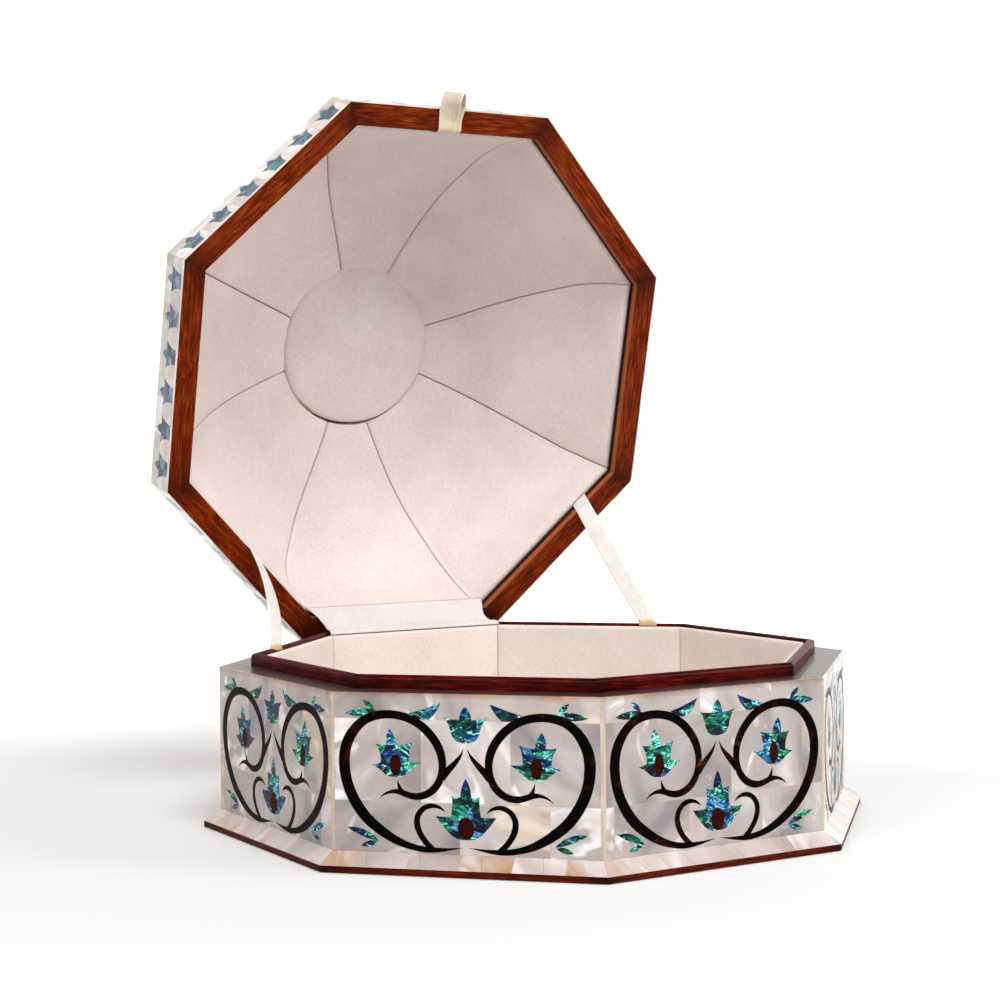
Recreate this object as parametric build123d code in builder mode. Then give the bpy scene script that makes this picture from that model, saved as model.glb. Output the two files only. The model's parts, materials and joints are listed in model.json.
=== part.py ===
from build123d import *
import os
from math import acos, cos, degrees, radians, sin, sqrt, tan

os.makedirs("parts", exist_ok=True)

# Octagonal box standing on the origin: +X right, -Y front, +Z up, millimetres.
# It is drawn open, as it stands with its ribbon stays taut.

# Driving sizes
side_apothem = 150.0  # centre to each shell side, so 300 across flats
veneer_thickness = 0.8
board_apothem = side_apothem - veneer_thickness
inlay_depth = 0.5
mitre_gap = 0.1
octagon_half_angle = 22.5
half_slope = tan(radians(octagon_half_angle))
side_half_width = side_apothem * half_slope

base_board_apothem = 158.0
base_board_top = 3.1
plinth_toe = (158.3, 3.1)  # apothem and height of the sloping shell skin
plinth_head = (150.0, 8.45)
plinth_skin = 0.9
ledge_top = 80.1
ledge_thickness = 4.0
lip_outer = 135.4
lip_inner = 130.9
lip_top = 86.3
lip_rounding = 2.0
lining_inner = 127.9
lining_top = 84.8
floor_pad_top = 8.0

# Lid, measured from its rim plane
lid_gap = 1.0  # between ledge and rim when shut
lid_open_angle = 77.0
hinge_y = 149.2
hinge_z = ledge_top + 0.47
lid_apothem = 149.5
lid_board_apothem = lid_apothem - veneer_thickness
rim_inner = 136.6
rim_thickness = 8.0
band_height = 22.0
band_inner = 138.6
dome_radius = 229.1
dome_start = 33.0  # degrees up from level, seen from the centre of the dome's arc
dome_joints = (43.0, 54.0)  # where one ring of staves meets the next
stave_inner_radius = 224.0
crown_apothem = 54.0
crown_underside = 96.0
button_radius = 47.0
button_face = 84.0
button_shift = -3.0

dome_centre_apothem = lid_apothem - dome_radius * cos(radians(dome_start))
dome_centre_height = band_height - dome_radius * sin(radians(dome_start))
core_radius = dome_radius - veneer_thickness

# Where the lid stands when it is open
open_angle = radians(lid_open_angle)
rim_rise = ledge_top + lid_gap - hinge_z
lid_origin_y = hinge_y - hinge_y * cos(open_angle) + rim_rise * sin(open_angle)
lid_origin_z = hinge_z + hinge_y * sin(open_angle) + rim_rise * cos(open_angle)
lid_plane = Plane(
    origin=(0, lid_origin_y, lid_origin_z),
    x_dir=(1, 0, 0),
    z_dir=(0, sin(open_angle), cos(open_angle)),
)


def save(node, name):
    node.part.label = name
    export_step(node.part, f"parts/{name}.step")


def dome_point(radius, angle):
    """Apothem and height of a point on an arc of the dome."""
    across = dome_centre_apothem + radius * cos(radians(angle))
    up = dome_centre_height + radius * sin(radians(angle))
    return across, up


def dome_angle(radius, apothem):
    return degrees(acos((apothem - dome_centre_apothem) / radius))


# Shared shapes of one side, drawn on the front one


def mitred_board(inner, outer, bottom, top):
    """One upright board of the front side, its ends mitred for an octagon."""
    shy = mitre_gap / 2 / cos(radians(octagon_half_angle))
    inner_half = inner * half_slope - shy
    outer_half = outer * half_slope - shy
    with BuildPart() as board:
        with BuildSketch(Plane.XY.offset(bottom)):
            with BuildLine():
                Polyline(
                    (-inner_half, -inner),
                    (inner_half, -inner),
                    (outer_half, -outer),
                    (-outer_half, -outer),
                    close=True,
                )
            make_face()
        extrude(amount=top - bottom)
    return board


def mitre_wedge(gap):
    """The eighth of space that belongs to the front side."""
    reach = 200.0
    bottom = -5.0
    start = gap / 2 / sin(radians(octagon_half_angle))
    with BuildPart() as wedge:
        with BuildSketch(Plane.XY.offset(bottom)):
            with BuildLine():
                Polyline(
                    (0, -start),
                    (reach * half_slope, -start - reach),
                    (-reach * half_slope, -start - reach),
                    close=True,
                )
            make_face()
        extrude(amount=130)
    return wedge


wedge = mitre_wedge(mitre_gap)


def mitred_length(profile):
    """A profile of (apothem, height) points run along the front side and mitred."""
    with BuildPart() as length:
        with BuildSketch(Plane.YZ):
            with BuildLine():
                Polyline(*[(-apothem, height) for apothem, height in profile], close=True)
            make_face()
        extrude(amount=80, both=True)
        add(wedge.part, mode=Mode.INTERSECT)
    return length


def eight_round(module):
    """The eight mitred copies of a base piece, as one group."""
    with BuildPart() as ring:
        with PolarLocations(0, 8):
            add(module.part, clean=False)
    return ring


def eight_round_lid(module):
    """The same on the open lid."""
    with BuildPart(lid_plane) as ring:
        with PolarLocations(0, 8):
            add(module.part, clean=False)
    return ring


# Inlay outlines, in a side's own plane: across from its middle, and up


def tapered_band(route, widths):
    """A band along a route of points, with its own width at each; width 0 makes a tip."""
    left = []
    right = []
    last = len(route) - 1
    for place, point in enumerate(route):
        ahead = Vector(*route[min(place + 1, last)])
        behind = Vector(*route[max(place - 1, 0)])
        along = (ahead - behind).normalized()
        half = Vector(-along.Y, along.X) * (widths[place] / 2)
        left.append(Vector(*point) + half)
        right.append(Vector(*point) - half)
    with BuildSketch() as band:
        with BuildLine():
            Spline(*left)
            Spline(*right)
            if widths[0] > 0:
                Line(left[0], right[0])
            if widths[-1] > 0:
                Line(left[-1], right[-1])
        make_face()
    return band.sketch


def arched_outline(corners):
    """A closed outline, anticlockwise: each corner is (across, up, outward bulge of its next edge)."""
    with BuildSketch() as outline:
        with BuildLine():
            for place, (across, up, bulge) in enumerate(corners):
                next_across, next_up, _ = corners[(place + 1) % len(corners)]
                if bulge == 0:
                    Line((across, up), (next_across, next_up))
                else:
                    SagittaArc((across, up), (next_across, next_up), -bulge)
        make_face()
    return outline.sketch


def mirrored_corners(half):
    """The left half of an outline, top to bottom, joined to its mirror image."""
    whole = list(half)
    last = len(half) - 1
    for place in range(last, 0, -1):
        across, up, _ = half[place]
        bulge = half[place - 1][2]
        if across == 0:
            whole[place] = (across, up, bulge)
        else:
            whole.append((-across, up, bulge))
    return whole


def leaf(start, tip, thickness):
    across, up = start
    tip_across, tip_up = tip
    return arched_outline([(across, up, thickness / 2), (tip_across, tip_up, thickness / 2)])


main_scroll = tapered_band(
    [
        (-1, 11.8),
        (-9, 10.7),
        (-17, 10.3),
        (-24, 11.2),
        (-32.5, 14.2),
        (-40.2, 18.9),
        (-45.1, 22.9),
        (-48.9, 27.3),
        (-51.7, 31.7),
        (-54, 36.7),
        (-55.7, 43),
        (-56.2, 49.1),
        (-55.4, 55.4),
        (-53.3, 60.4),
        (-50.6, 64.2),
        (-46.4, 67.8),
        (-41, 69.9),
        (-34.5, 70.5),
        (-28.4, 69.6),
        (-22.5, 67.2),
        (-18.2, 64),
        (-14.4, 59.7),
        (-11.6, 54.4),
        (-10.6, 49.2),
        (-11.2, 43.8),
        (-13.2, 39.3),
        (-16.7, 35.9),
        (-21.5, 34.1),
        (-26, 34.4),
        (-30.3, 35.8),
        (-34, 35.9),
        (-37.4, 34.7),
        (-40, 32.4),
    ],
    [0, 1.4, 2.6, 2.9, 3.8, 4.6, 4.9, 5.1, 5.1, 5.1, 5.1, 5.2, 5.1, 4.9, 4.5, 4.2, 4]
    + [3.8, 3.8, 3.9, 4, 4, 3.9, 3.6, 3.4, 3.5, 3.4, 3.2, 2.9, 2.6, 1.7, 0.9, 0],
)
scroll_spike = tapered_band([(-29.2, 35.4), (-30.6, 38), (-31.5, 41.5)], [2.6, 1.6, 0])
scroll_thorn = tapered_band(
    [(-11, 42.5), (-7, 47.2), (-3.5, 51), (-0.8, 56.2)], [3.4, 2.9, 1.8, 0]
)
small_scroll = tapered_band(
    [
        (-15.5, 10.5),
        (-19.6, 15),
        (-22.2, 20),
        (-22.5, 24),
        (-20.3, 28.1),
        (-16.9, 29.9),
        (-12.9, 29.7),
        (-9.3, 27),
    ],
    [3, 2.7, 2.9, 2.8, 2.5, 2.3, 1.6, 0],
)
top_tulip = arched_outline(
    mirrored_corners(
        [
            (0, 74.8, 0.7),
            (-2.8, 68.8, -0.3),
            (-10, 69.8, -0.7),
            (-6.6, 62.5, 0),
            (-5.2, 60, 0.5),
            (0, 58.4, 0.5),
        ]
    )
)
side_flower = arched_outline(
    [
        (-34.9, 64, 0.8),
        (-36.4, 56.8, -0.2),
        (-41.6, 57.2, -0.8),
        (-39.1, 48.9, -0.2),
        (-43.5, 47.8, -0.4),
        (-37, 43.5, 0.9),
        (-28.4, 43.1, -0.2),
        (-20.4, 49.2, -0.2),
        (-25.9, 49.5, -0.6),
        (-24.4, 58, -0.3),
        (-31.6, 56.7, 0.8),
    ]
)
bottom_flower = arched_outline(
    mirrored_corners(
        [
            (0, 42.6, 0.6),
            (-2.6, 34.1, -0.2),
            (-6.4, 34.8, -0.4),
            (-6.9, 25.6, -0.2),
            (-14, 25.6, 0.2),
            (-7.6, 17.9, 0.9),
            (0, 15.3, 0.9),
        ]
    )
)
upper_leaf = arched_outline([(-26, 71.2, 1), (-16.8, 68.4, 0.7), (-11.2, 76.1, -0.3)])
lower_leaf = arched_outline([(-40.3, 13.4, 2.2), (-55.2, 19.2, 1)])

# Dark tortoiseshell scrolls and drops of one side
with BuildSketch(Plane.XZ.offset(side_apothem)) as scroll_pattern:
    add(main_scroll)
    add(scroll_spike)
    add(scroll_thorn)
    add(small_scroll)
    with Locations((-32.3, 47.9)):
        Ellipse(2.6, 4.8)
    mirror(about=Plane.YZ)
    with Locations((0, 20.4)):
        Ellipse(3.8, 5)

# Abalone flowers and leaves of one side
with BuildSketch(Plane.XZ.offset(side_apothem)) as flower_pattern:
    add(side_flower)
    add(leaf((-40.2, 71.7), (-55.7, 70.6), 3.6))
    add(leaf((-42, 72.4), (-47.1, 76.8), 2.4))
    add(upper_leaf)
    add(lower_leaf)
    add(leaf((-40.8, 13.3), (-48.8, 11), 2.6))
    mirror(about=Plane.YZ)
    add(top_tulip)
    add(bottom_flower)
    add(scroll_pattern.sketch, mode=Mode.SUBTRACT)

# Base board, plinth and walls

with BuildPart() as base_board:
    with BuildSketch():
        RegularPolygon(base_board_apothem, 8, major_radius=False, rotation=octagon_half_angle)
    extrude(amount=base_board_top)
    fillet(base_board.faces().sort_by(Axis.Z)[-1].edges(), 0.6)
save(base_board, "base_board")

skin_run = plinth_toe[0] - plinth_head[0]
skin_rise = plinth_head[1] - plinth_toe[1]
skin_length = sqrt(skin_run**2 + skin_rise**2)
skin_setback = plinth_skin * skin_length / skin_rise  # the skin's thickness measured level
moulding_toe = plinth_toe[0] - skin_setback
moulding_height = (moulding_toe - board_apothem) * skin_rise / skin_run
moulding_profile = [
    (board_apothem, base_board_top),
    (moulding_toe, base_board_top),
    (board_apothem, base_board_top + moulding_height),
]
plinth_moulding = eight_round(mitred_length(moulding_profile))
save(plinth_moulding, "plinth_moulding")

tile_joints = (-44.0, -19.0, 9.0, 37.0)  # along the front side
joint_slant = 22.0  # degrees
skin_profile = [
    (moulding_toe, base_board_top),
    plinth_toe,
    plinth_head,
    (board_apothem, plinth_head[1]),
    (board_apothem, base_board_top + moulding_height),
]
with BuildPart() as side_tiles:
    add(mitred_length(skin_profile).part)
    with BuildSketch(Plane.XZ.offset(side_apothem)) as joints:
        with Locations(*[(across, plinth_toe[1]) for across in tile_joints]):
            Rectangle(0.12, 30, rotation=joint_slant)
    extrude(amount=15, both=True, mode=Mode.SUBTRACT)
plinth_shell_tiles = eight_round(side_tiles)
save(plinth_shell_tiles, "plinth_shell_tiles")

veneer_bottom = plinth_head[1] + 0.05
corner_strip_width = 1.3
strip_clearance = 0.05
panel_half_width = side_half_width - corner_strip_width - strip_clearance

with BuildPart() as side_panel:
    with Locations((0, -(side_apothem - veneer_thickness / 2), (veneer_bottom + ledge_top) / 2)):
        Box(2 * panel_half_width, veneer_thickness, ledge_top - veneer_bottom)
    extrude(scroll_pattern.sketch, amount=-inlay_depth, mode=Mode.SUBTRACT)
    extrude(flower_pattern.sketch, amount=-inlay_depth, mode=Mode.SUBTRACT)

with BuildPart() as side_scrolls:
    extrude(scroll_pattern.sketch, amount=-inlay_depth)

with BuildPart() as side_flowers:
    extrude(flower_pattern.sketch, amount=-inlay_depth)

with BuildPart() as scroll_inlay:
    with PolarLocations(0, 8):
        add(side_scrolls.part, clean=False)
save(scroll_inlay, "scroll_inlay")

with BuildPart() as flower_inlay:
    with PolarLocations(0, 8):
        add(side_flowers.part, clean=False)
save(flower_inlay, "flower_inlay")

with BuildPart() as corner_piece:
    with BuildSketch(Plane.XY.offset(veneer_bottom)):
        with BuildLine():
            Polyline(
                (side_half_width - corner_strip_width, -board_apothem),
                (board_apothem * half_slope, -board_apothem),
                (side_half_width, -side_apothem),
                (side_half_width - corner_strip_width, -side_apothem),
                close=True,
            )
        make_face()
    extrude(amount=ledge_top - veneer_bottom)
    mirror(about=Plane.YZ.rotated((0, 0, octagon_half_angle)))
with BuildPart() as corner_strips:
    with PolarLocations(0, 8):
        add(corner_piece.part)
save(corner_strips, "corner_strips")

# Two butt hinges let into the ledge and the rim along the back
hinge_offset = 34.0
hinge_length = 24.0
leaf_reach = 9.5
leaf_thickness = 0.8
knuckle_radius = 1.5
knuckle_relief = 1.9
pin_radius = 0.75
pin_bore = 0.8
knuckle_count = 5
knuckle_pitch = hinge_length / knuckle_count
knuckle_length = knuckle_pitch - 0.15
screw_radius = 0.9
screw_head_radius = 1.8
screw_length = 7.0
screw_back = 5.5  # behind the pin's line
screw_spread = 7.0
screw_clearance = 0.05


def hinge_leaf(side, knuckle_places, face, outward, pin_hole):
    """A leaf lying on the level plane at height face, thickened the outward way (+1 or -1)."""
    far = hinge_y - leaf_reach
    with BuildPart() as leaf_part:
        with Locations((side, (hinge_y + far) / 2, face + outward * leaf_thickness / 2)):
            Box(hinge_length, leaf_reach, leaf_thickness)
        for place in range(knuckle_count):
            across = side + (place - (knuckle_count - 1) / 2) * knuckle_pitch
            with Locations(Plane(origin=(across, hinge_y, hinge_z), z_dir=(1, 0, 0))):
                if place in knuckle_places:
                    Cylinder(knuckle_radius, knuckle_length)
                else:
                    Cylinder(knuckle_relief, knuckle_pitch + 0.15, mode=Mode.SUBTRACT)
        with Locations(Plane(origin=(side, hinge_y, hinge_z), z_dir=(1, 0, 0))):
            Cylinder(pin_hole, hinge_length + 1, mode=Mode.SUBTRACT)
        for spread in (-screw_spread, screw_spread):
            with Locations(
                Plane(
                    origin=(side + spread, hinge_y - screw_back, face + outward * leaf_thickness / 2),
                    z_dir=(0, 0, -outward),
                )
            ):
                Cone(
                    screw_radius + screw_clearance,
                    screw_head_radius + screw_clearance,
                    leaf_thickness,
                    mode=Mode.SUBTRACT,
                )
    return leaf_part


def hinge_screws(face, outward):
    """Four countersunk screws, heads flush with the leaves, shanks in the wood."""
    with BuildPart() as screws:
        for side in (-hinge_offset, hinge_offset):
            for spread in (-screw_spread, screw_spread):
                head = Plane(
                    origin=(side + spread, hinge_y - screw_back, face + outward * leaf_thickness / 2),
                    z_dir=(0, 0, -outward),
                )
                shank_place = Plane(
                    origin=(
                        side + spread,
                        hinge_y - screw_back,
                        face + outward * (leaf_thickness + screw_length / 2),
                    ),
                    z_dir=(0, 0, -outward),
                )
                with Locations(head):
                    Cone(screw_radius, screw_head_radius, leaf_thickness)
                with Locations(shank_place):
                    Cylinder(screw_radius, screw_length)
    return screws


def hinge_hollow(face, outward):
    """What is cut from the wood for the hinges and their screws."""
    far = hinge_y - leaf_reach
    with BuildPart() as hollow:
        for side in (-hinge_offset, hinge_offset):
            with Locations((side, (hinge_y + far) / 2, face + outward * leaf_thickness / 2)):
                Box(hinge_length, leaf_reach, leaf_thickness)
            with Locations(Plane(origin=(side, hinge_y, hinge_z), z_dir=(1, 0, 0))):
                Cylinder(knuckle_relief, hinge_length + 0.6)
            for spread in (-screw_spread, screw_spread):
                with Locations(
                    (
                        side + spread,
                        hinge_y - screw_back,
                        face + outward * (leaf_thickness + screw_length / 2),
                    )
                ):
                    Cylinder(screw_radius, screw_length)
    return hollow


base_hollow = hinge_hollow(ledge_top, -1)
rim_hollow = hinge_hollow(ledge_top + lid_gap, 1)
base_knuckles = (0, 2, 4)
lid_knuckles = (1, 3)

wall_names = [
    "front",
    "front_right",
    "right",
    "back_right",
    "back",
    "back_left",
    "left",
    "front_left",
]
wall_top = ledge_top - ledge_thickness
plain_wall = mitred_board(lip_outer + 0.05, board_apothem - 0.02, base_board_top, wall_top)
for place, wall_name in enumerate(wall_names):
    turn = 45.0 * place
    with BuildPart(Plane.XY.rotated((0, 0, turn))) as wall:
        add(plain_wall.part)
    with BuildPart(Plane.XY.rotated((0, 0, turn))) as veneer:
        add(side_panel.part)
    if wall_name == "back":
        with BuildPart() as wall:
            add(plain_wall.part, rotation=(0, 0, turn))
            add(base_hollow.part, mode=Mode.SUBTRACT)
        with BuildPart() as veneer:
            add(side_panel.part, rotation=(0, 0, turn))
            add(base_hollow.part, mode=Mode.SUBTRACT)
    save(wall, "wall_" + wall_name)
    save(veneer, "shell_veneer_" + wall_name)

ledge_strip = mitred_board(lip_outer + 0.05, board_apothem - 0.02, wall_top, ledge_top)
with BuildPart() as ledge_frame:
    with PolarLocations(0, 8):
        add(ledge_strip.part, clean=False)
    add(base_hollow.part, mode=Mode.SUBTRACT)
save(ledge_frame, "ledge_frame")

# Lip boards, rounded along the top
with BuildPart() as lip_board:
    add(mitred_board(lip_inner, lip_outer, base_board_top, lip_top).part)
    fillet(lip_board.faces().sort_by(Axis.Z)[-1].edges().filter_by(Axis.X), lip_rounding)
lip_frame = eight_round(lip_board)
save(lip_frame, "lip_frame")

# Cloth covered wall panels and floor pad
lining_panel = mitred_board(lining_inner, lip_inner - 0.05, floor_pad_top + 0.1, lining_top)
wall_lining = eight_round(lining_panel)
save(wall_lining, "wall_lining")

with BuildPart() as floor_pad:
    with BuildSketch(Plane.XY.offset(base_board_top)):
        RegularPolygon(lip_inner - 0.3, 8, major_radius=False, rotation=octagon_half_angle)
    extrude(amount=floor_pad_top - base_board_top)
    fillet(floor_pad.faces().sort_by(Axis.Z)[-1].edges(), 2.0)
save(floor_pad, "floor_pad")

# Hinges: the base leaves, their pins and screws
hinge_sides = {"left": -hinge_offset, "right": hinge_offset}
for side_name, side in hinge_sides.items():
    base_leaf = hinge_leaf(side, base_knuckles, ledge_top, -1, pin_radius)
    save(base_leaf, f"hinge_{side_name}_base_leaf")
    with BuildPart(Plane(origin=(side, hinge_y, hinge_z), z_dir=(1, 0, 0))) as hinge_pin:
        Cylinder(pin_radius, hinge_length)
    save(hinge_pin, f"hinge_{side_name}_pin")
hinge_screws_base = hinge_screws(ledge_top, -1)
save(hinge_screws_base, "hinge_screws_base")

# The lid's leaves and screws are drawn shut and turned open with the lid
shut_to_open = Plane(
    origin=lid_plane.from_local_coords((0, 0, -(ledge_top + lid_gap))),
    x_dir=(1, 0, 0),
    z_dir=lid_plane.z_dir,
)
for side_name, side in hinge_sides.items():
    shut_leaf = hinge_leaf(side, lid_knuckles, ledge_top + lid_gap, 1, pin_bore)
    with BuildPart(shut_to_open) as lid_leaf:
        add(shut_leaf.part)
    save(lid_leaf, f"hinge_{side_name}_lid_leaf")
with BuildPart(shut_to_open) as hinge_screws_lid:
    add(hinge_screws(ledge_top + lid_gap, 1).part)
save(hinge_screws_lid, "hinge_screws_lid")

# Lid: rim frame, boards and staves

rim_profile = [
    (rim_inner, 0),
    (lid_board_apothem - 0.02, 0),
    (lid_board_apothem - 0.02, rim_thickness),
    (rim_inner, rim_thickness),
]
with BuildPart(lid_plane) as lid_rim_frame:
    with PolarLocations(0, 8):
        add(mitred_length(rim_profile).part, clean=False)
with BuildPart(shut_to_open) as open_rim_hollow:
    add(rim_hollow.part)
with BuildPart() as lid_rim_frame_cut:
    add(lid_rim_frame.part, clean=False)
    add(open_rim_hollow.part, mode=Mode.SUBTRACT)
save(lid_rim_frame_cut, "lid_rim_frame")

stave_foot = dome_point(core_radius - 0.02, dome_start)[1]
band_board_top = stave_foot - 0.05
band_profile = [
    (band_inner, rim_thickness),
    (lid_board_apothem - 0.02, rim_thickness),
    (lid_board_apothem - 0.02, band_board_top),
    (band_inner, band_board_top),
]
lid_band_boards = eight_round_lid(mitred_length(band_profile))
save(lid_band_boards, "lid_band_boards")


def stave(lower_inner, lower_outer_angle, upper_outer_angle, upper_inner):
    """A stave of one side: curved outside, flat inside, mitred."""
    lower = dome_point(core_radius - 0.02, lower_outer_angle)
    middle = dome_point(core_radius - 0.02, (lower_outer_angle + upper_outer_angle) / 2)
    upper = dome_point(core_radius - 0.02, upper_outer_angle)
    with BuildPart() as stave_part:
        with BuildSketch(Plane.YZ):
            with BuildLine():
                ThreePointArc(
                    (-lower[0], lower[1]), (-middle[0], middle[1]), (-upper[0], upper[1])
                )
                Line((-upper[0], upper[1]), (-upper_inner[0], upper_inner[1]))
                Line((-upper_inner[0], upper_inner[1]), (-lower_inner[0], lower_inner[1]))
                Line((-lower_inner[0], lower_inner[1]), (-lower[0], lower[1]))
            make_face()
        extrude(amount=80, both=True)
        add(wedge.part, mode=Mode.INTERSECT)
    return stave_part


first_joint, second_joint = dome_joints
first_inner = dome_point(stave_inner_radius, first_joint)
second_inner = dome_point(stave_inner_radius, second_joint)
last_angle = dome_angle(core_radius, crown_apothem)
last_inner = dome_point(stave_inner_radius, dome_angle(stave_inner_radius, crown_apothem))
lid_lower_staves = eight_round_lid(
    stave((band_inner, stave_foot), dome_start, first_joint, first_inner)
)
save(lid_lower_staves, "lid_lower_staves")
lid_middle_staves = eight_round_lid(stave(first_inner, first_joint, second_joint, second_inner))
save(lid_middle_staves, "lid_middle_staves")
lid_upper_staves = eight_round_lid(stave(second_inner, second_joint, last_angle, last_inner))
save(lid_upper_staves, "lid_upper_staves")

crown_top = dome_point(core_radius, last_angle)[1]
with BuildPart(lid_plane) as lid_crown:
    with BuildSketch(lid_plane.offset(crown_underside)):
        RegularPolygon(crown_apothem - 0.05, 8, major_radius=False, rotation=octagon_half_angle)
    extrude(amount=crown_top - crown_underside)
save(lid_crown, "lid_crown")

# Shell skin of the lid with its inlays

tulip_pitch = 20.0
tulip_count = 6
band_tulip = arched_outline(
    mirrored_corners(
        [
            (0, 18.5, 0.5),
            (-2.6, 12.8, -0.5),
            (-7.5, 13.8, -1.0),
            (-4, 0.8, 0),
        ]
    )
)
with BuildSketch(Plane.XZ.offset(lid_apothem)) as band_pattern:
    with GridLocations(tulip_pitch, 1, tulip_count, 1):
        add(band_tulip)

band_skin_top = band_height - 0.05
band_skin_bevel = veneer_thickness * tan(radians(dome_start))
band_skin_profile = [
    (lid_board_apothem, 0),
    (lid_apothem, 0),
    (lid_apothem, band_skin_top),
    (lid_board_apothem, band_skin_top - band_skin_bevel),
]
with BuildPart() as band_skin:
    add(mitred_length(band_skin_profile).part)
    extrude(band_pattern.sketch, amount=-inlay_depth, mode=Mode.SUBTRACT)
with BuildPart(lid_plane) as lid_band_veneer:
    with PolarLocations(0, 8):
        add(band_skin.part, clean=False)
with BuildPart() as lid_band_veneer_cut:
    add(lid_band_veneer.part, clean=False)
    add(open_rim_hollow.part, mode=Mode.SUBTRACT)
save(lid_band_veneer_cut, "lid_band_veneer")

with BuildPart() as band_tulips:
    extrude(band_pattern.sketch, amount=-inlay_depth)
with BuildPart(lid_plane) as lid_band_tulips:
    with PolarLocations(0, 8):
        add(band_tulips.part, clean=False)
with BuildPart() as lid_band_tulips_cut:
    add(lid_band_tulips.part, clean=False)
    add(open_rim_hollow.part, mode=Mode.SUBTRACT)
save(lid_band_tulips_cut, "lid_band_tulips")

# Dome skin: one curved panel on each side
skin_end = dome_angle(dome_radius, crown_apothem + 0.6)
skin_middle = (dome_start + skin_end) / 2
with BuildPart() as dome_skin:
    with BuildSketch(Plane.YZ):
        outer_points = [dome_point(dome_radius, angle) for angle in (dome_start, skin_middle, skin_end)]
        inner_points = [dome_point(core_radius, angle) for angle in (dome_start, skin_middle, skin_end)]
        with BuildLine():
            ThreePointArc(*[(-apothem, height) for apothem, height in outer_points])
            ThreePointArc(*[(-apothem, height) for apothem, height in inner_points])
            Line(
                (-outer_points[0][0], outer_points[0][1]),
                (-inner_points[0][0], inner_points[0][1]),
            )
            Line(
                (-outer_points[2][0], outer_points[2][1]),
                (-inner_points[2][0], inner_points[2][1]),
            )
        make_face()
    extrude(amount=80, both=True)
    add(wedge.part, mode=Mode.INTERSECT)

# Ornament of the dome, drawn square to the middle of the panel
ornament_stand_off = 4.0
ornament_place = dome_point(dome_radius + ornament_stand_off, skin_middle)
tilt = radians(skin_middle)
ornament_plane = Plane(
    origin=(0, -ornament_place[0], ornament_place[1]),
    x_dir=(1, 0, 0),
    z_dir=(0, -cos(tilt), sin(tilt)),
)
dome_flower = arched_outline(
    mirrored_corners(
        [
            (0, 26, 0.9),
            (-5, 14, -0.6),
            (-11, 15, 0.8),
            (-9, 6, -0.6),
            (-15, -2, 1.0),
            (-6, -9, -0.8),
            (-5, -22, 0.6),
            (0, -28, 0.6),
        ]
    )
)
with BuildSketch(ornament_plane) as dome_flower_pattern:
    add(dome_flower)
    with Locations((0, -2)):
        Ellipse(3, 5, mode=Mode.SUBTRACT)
    add(leaf((-17, -31), (-30, -14), 5))
    add(leaf((17, -31), (30, -14), 5))
dome_scroll = tapered_band(
    [(-8, -38), (-22, -37), (-36, -33), (-36, -20), (-27, -4), (-21, 10), (-17, 20)],
    [0, 3, 4, 4.4, 4, 3, 0],
)
with BuildSketch(ornament_plane) as dome_scroll_pattern:
    add(dome_scroll)
    mirror(about=Plane.YZ)
    with Locations((0, -2)):
        Ellipse(3, 5)
    add(dome_flower_pattern.sketch, mode=Mode.SUBTRACT)

with BuildPart() as dome_flowers:
    extrude(dome_flower_pattern.sketch, amount=-25)
    add(dome_skin.part, mode=Mode.INTERSECT)
with BuildPart() as dome_scrolls:
    extrude(dome_scroll_pattern.sketch, amount=-25)
    add(dome_skin.part, mode=Mode.INTERSECT)
with BuildPart() as dome_panel:
    add(dome_skin.part)
    extrude(dome_flower_pattern.sketch, amount=-25, mode=Mode.SUBTRACT)
    extrude(dome_scroll_pattern.sketch, amount=-25, mode=Mode.SUBTRACT)
save(eight_round_lid(dome_panel), "lid_dome_veneer")
save(eight_round_lid(dome_flowers), "lid_dome_flowers")
save(eight_round_lid(dome_scrolls), "lid_dome_scrolls")

# Crown skin with an eight pointed star round a dark centre
star_reach = 44.0
star_waist = 17.0
star_centre_radius = 8.0
star_points = []
for point in range(8):
    angle = radians(45 * point)
    star_points.append((star_reach * sin(angle), star_reach * cos(angle)))
    half_turn = angle + radians(octagon_half_angle)
    star_points.append((star_waist * sin(half_turn), star_waist * cos(half_turn)))
crown_skin_top = dome_point(dome_radius, skin_end)[1]
with BuildPart(lid_plane) as lid_crown_veneer:
    with BuildSketch(lid_plane.offset(crown_top)):
        RegularPolygon(crown_apothem - 0.1, 8, major_radius=False, rotation=octagon_half_angle)
        with BuildLine():
            Polyline(*star_points, close=True)
        make_face(mode=Mode.SUBTRACT)
    extrude(amount=crown_skin_top - crown_top)
save(lid_crown_veneer, "lid_crown_veneer")
with BuildPart(lid_plane) as lid_crown_star:
    with BuildSketch(lid_plane.offset(crown_top)):
        with BuildLine():
            Polyline(*star_points, close=True)
        make_face()
        Circle(star_centre_radius, mode=Mode.SUBTRACT)
    extrude(amount=crown_skin_top - crown_top)
save(lid_crown_star, "lid_crown_star")
with BuildPart(lid_plane) as lid_crown_boss:
    with BuildSketch(lid_plane.offset(crown_top)):
        Circle(star_centre_radius)
    extrude(amount=crown_skin_top - crown_top)
save(lid_crown_boss, "lid_crown_boss")

# Padded lining of the dome: eight gores and a round button

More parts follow.
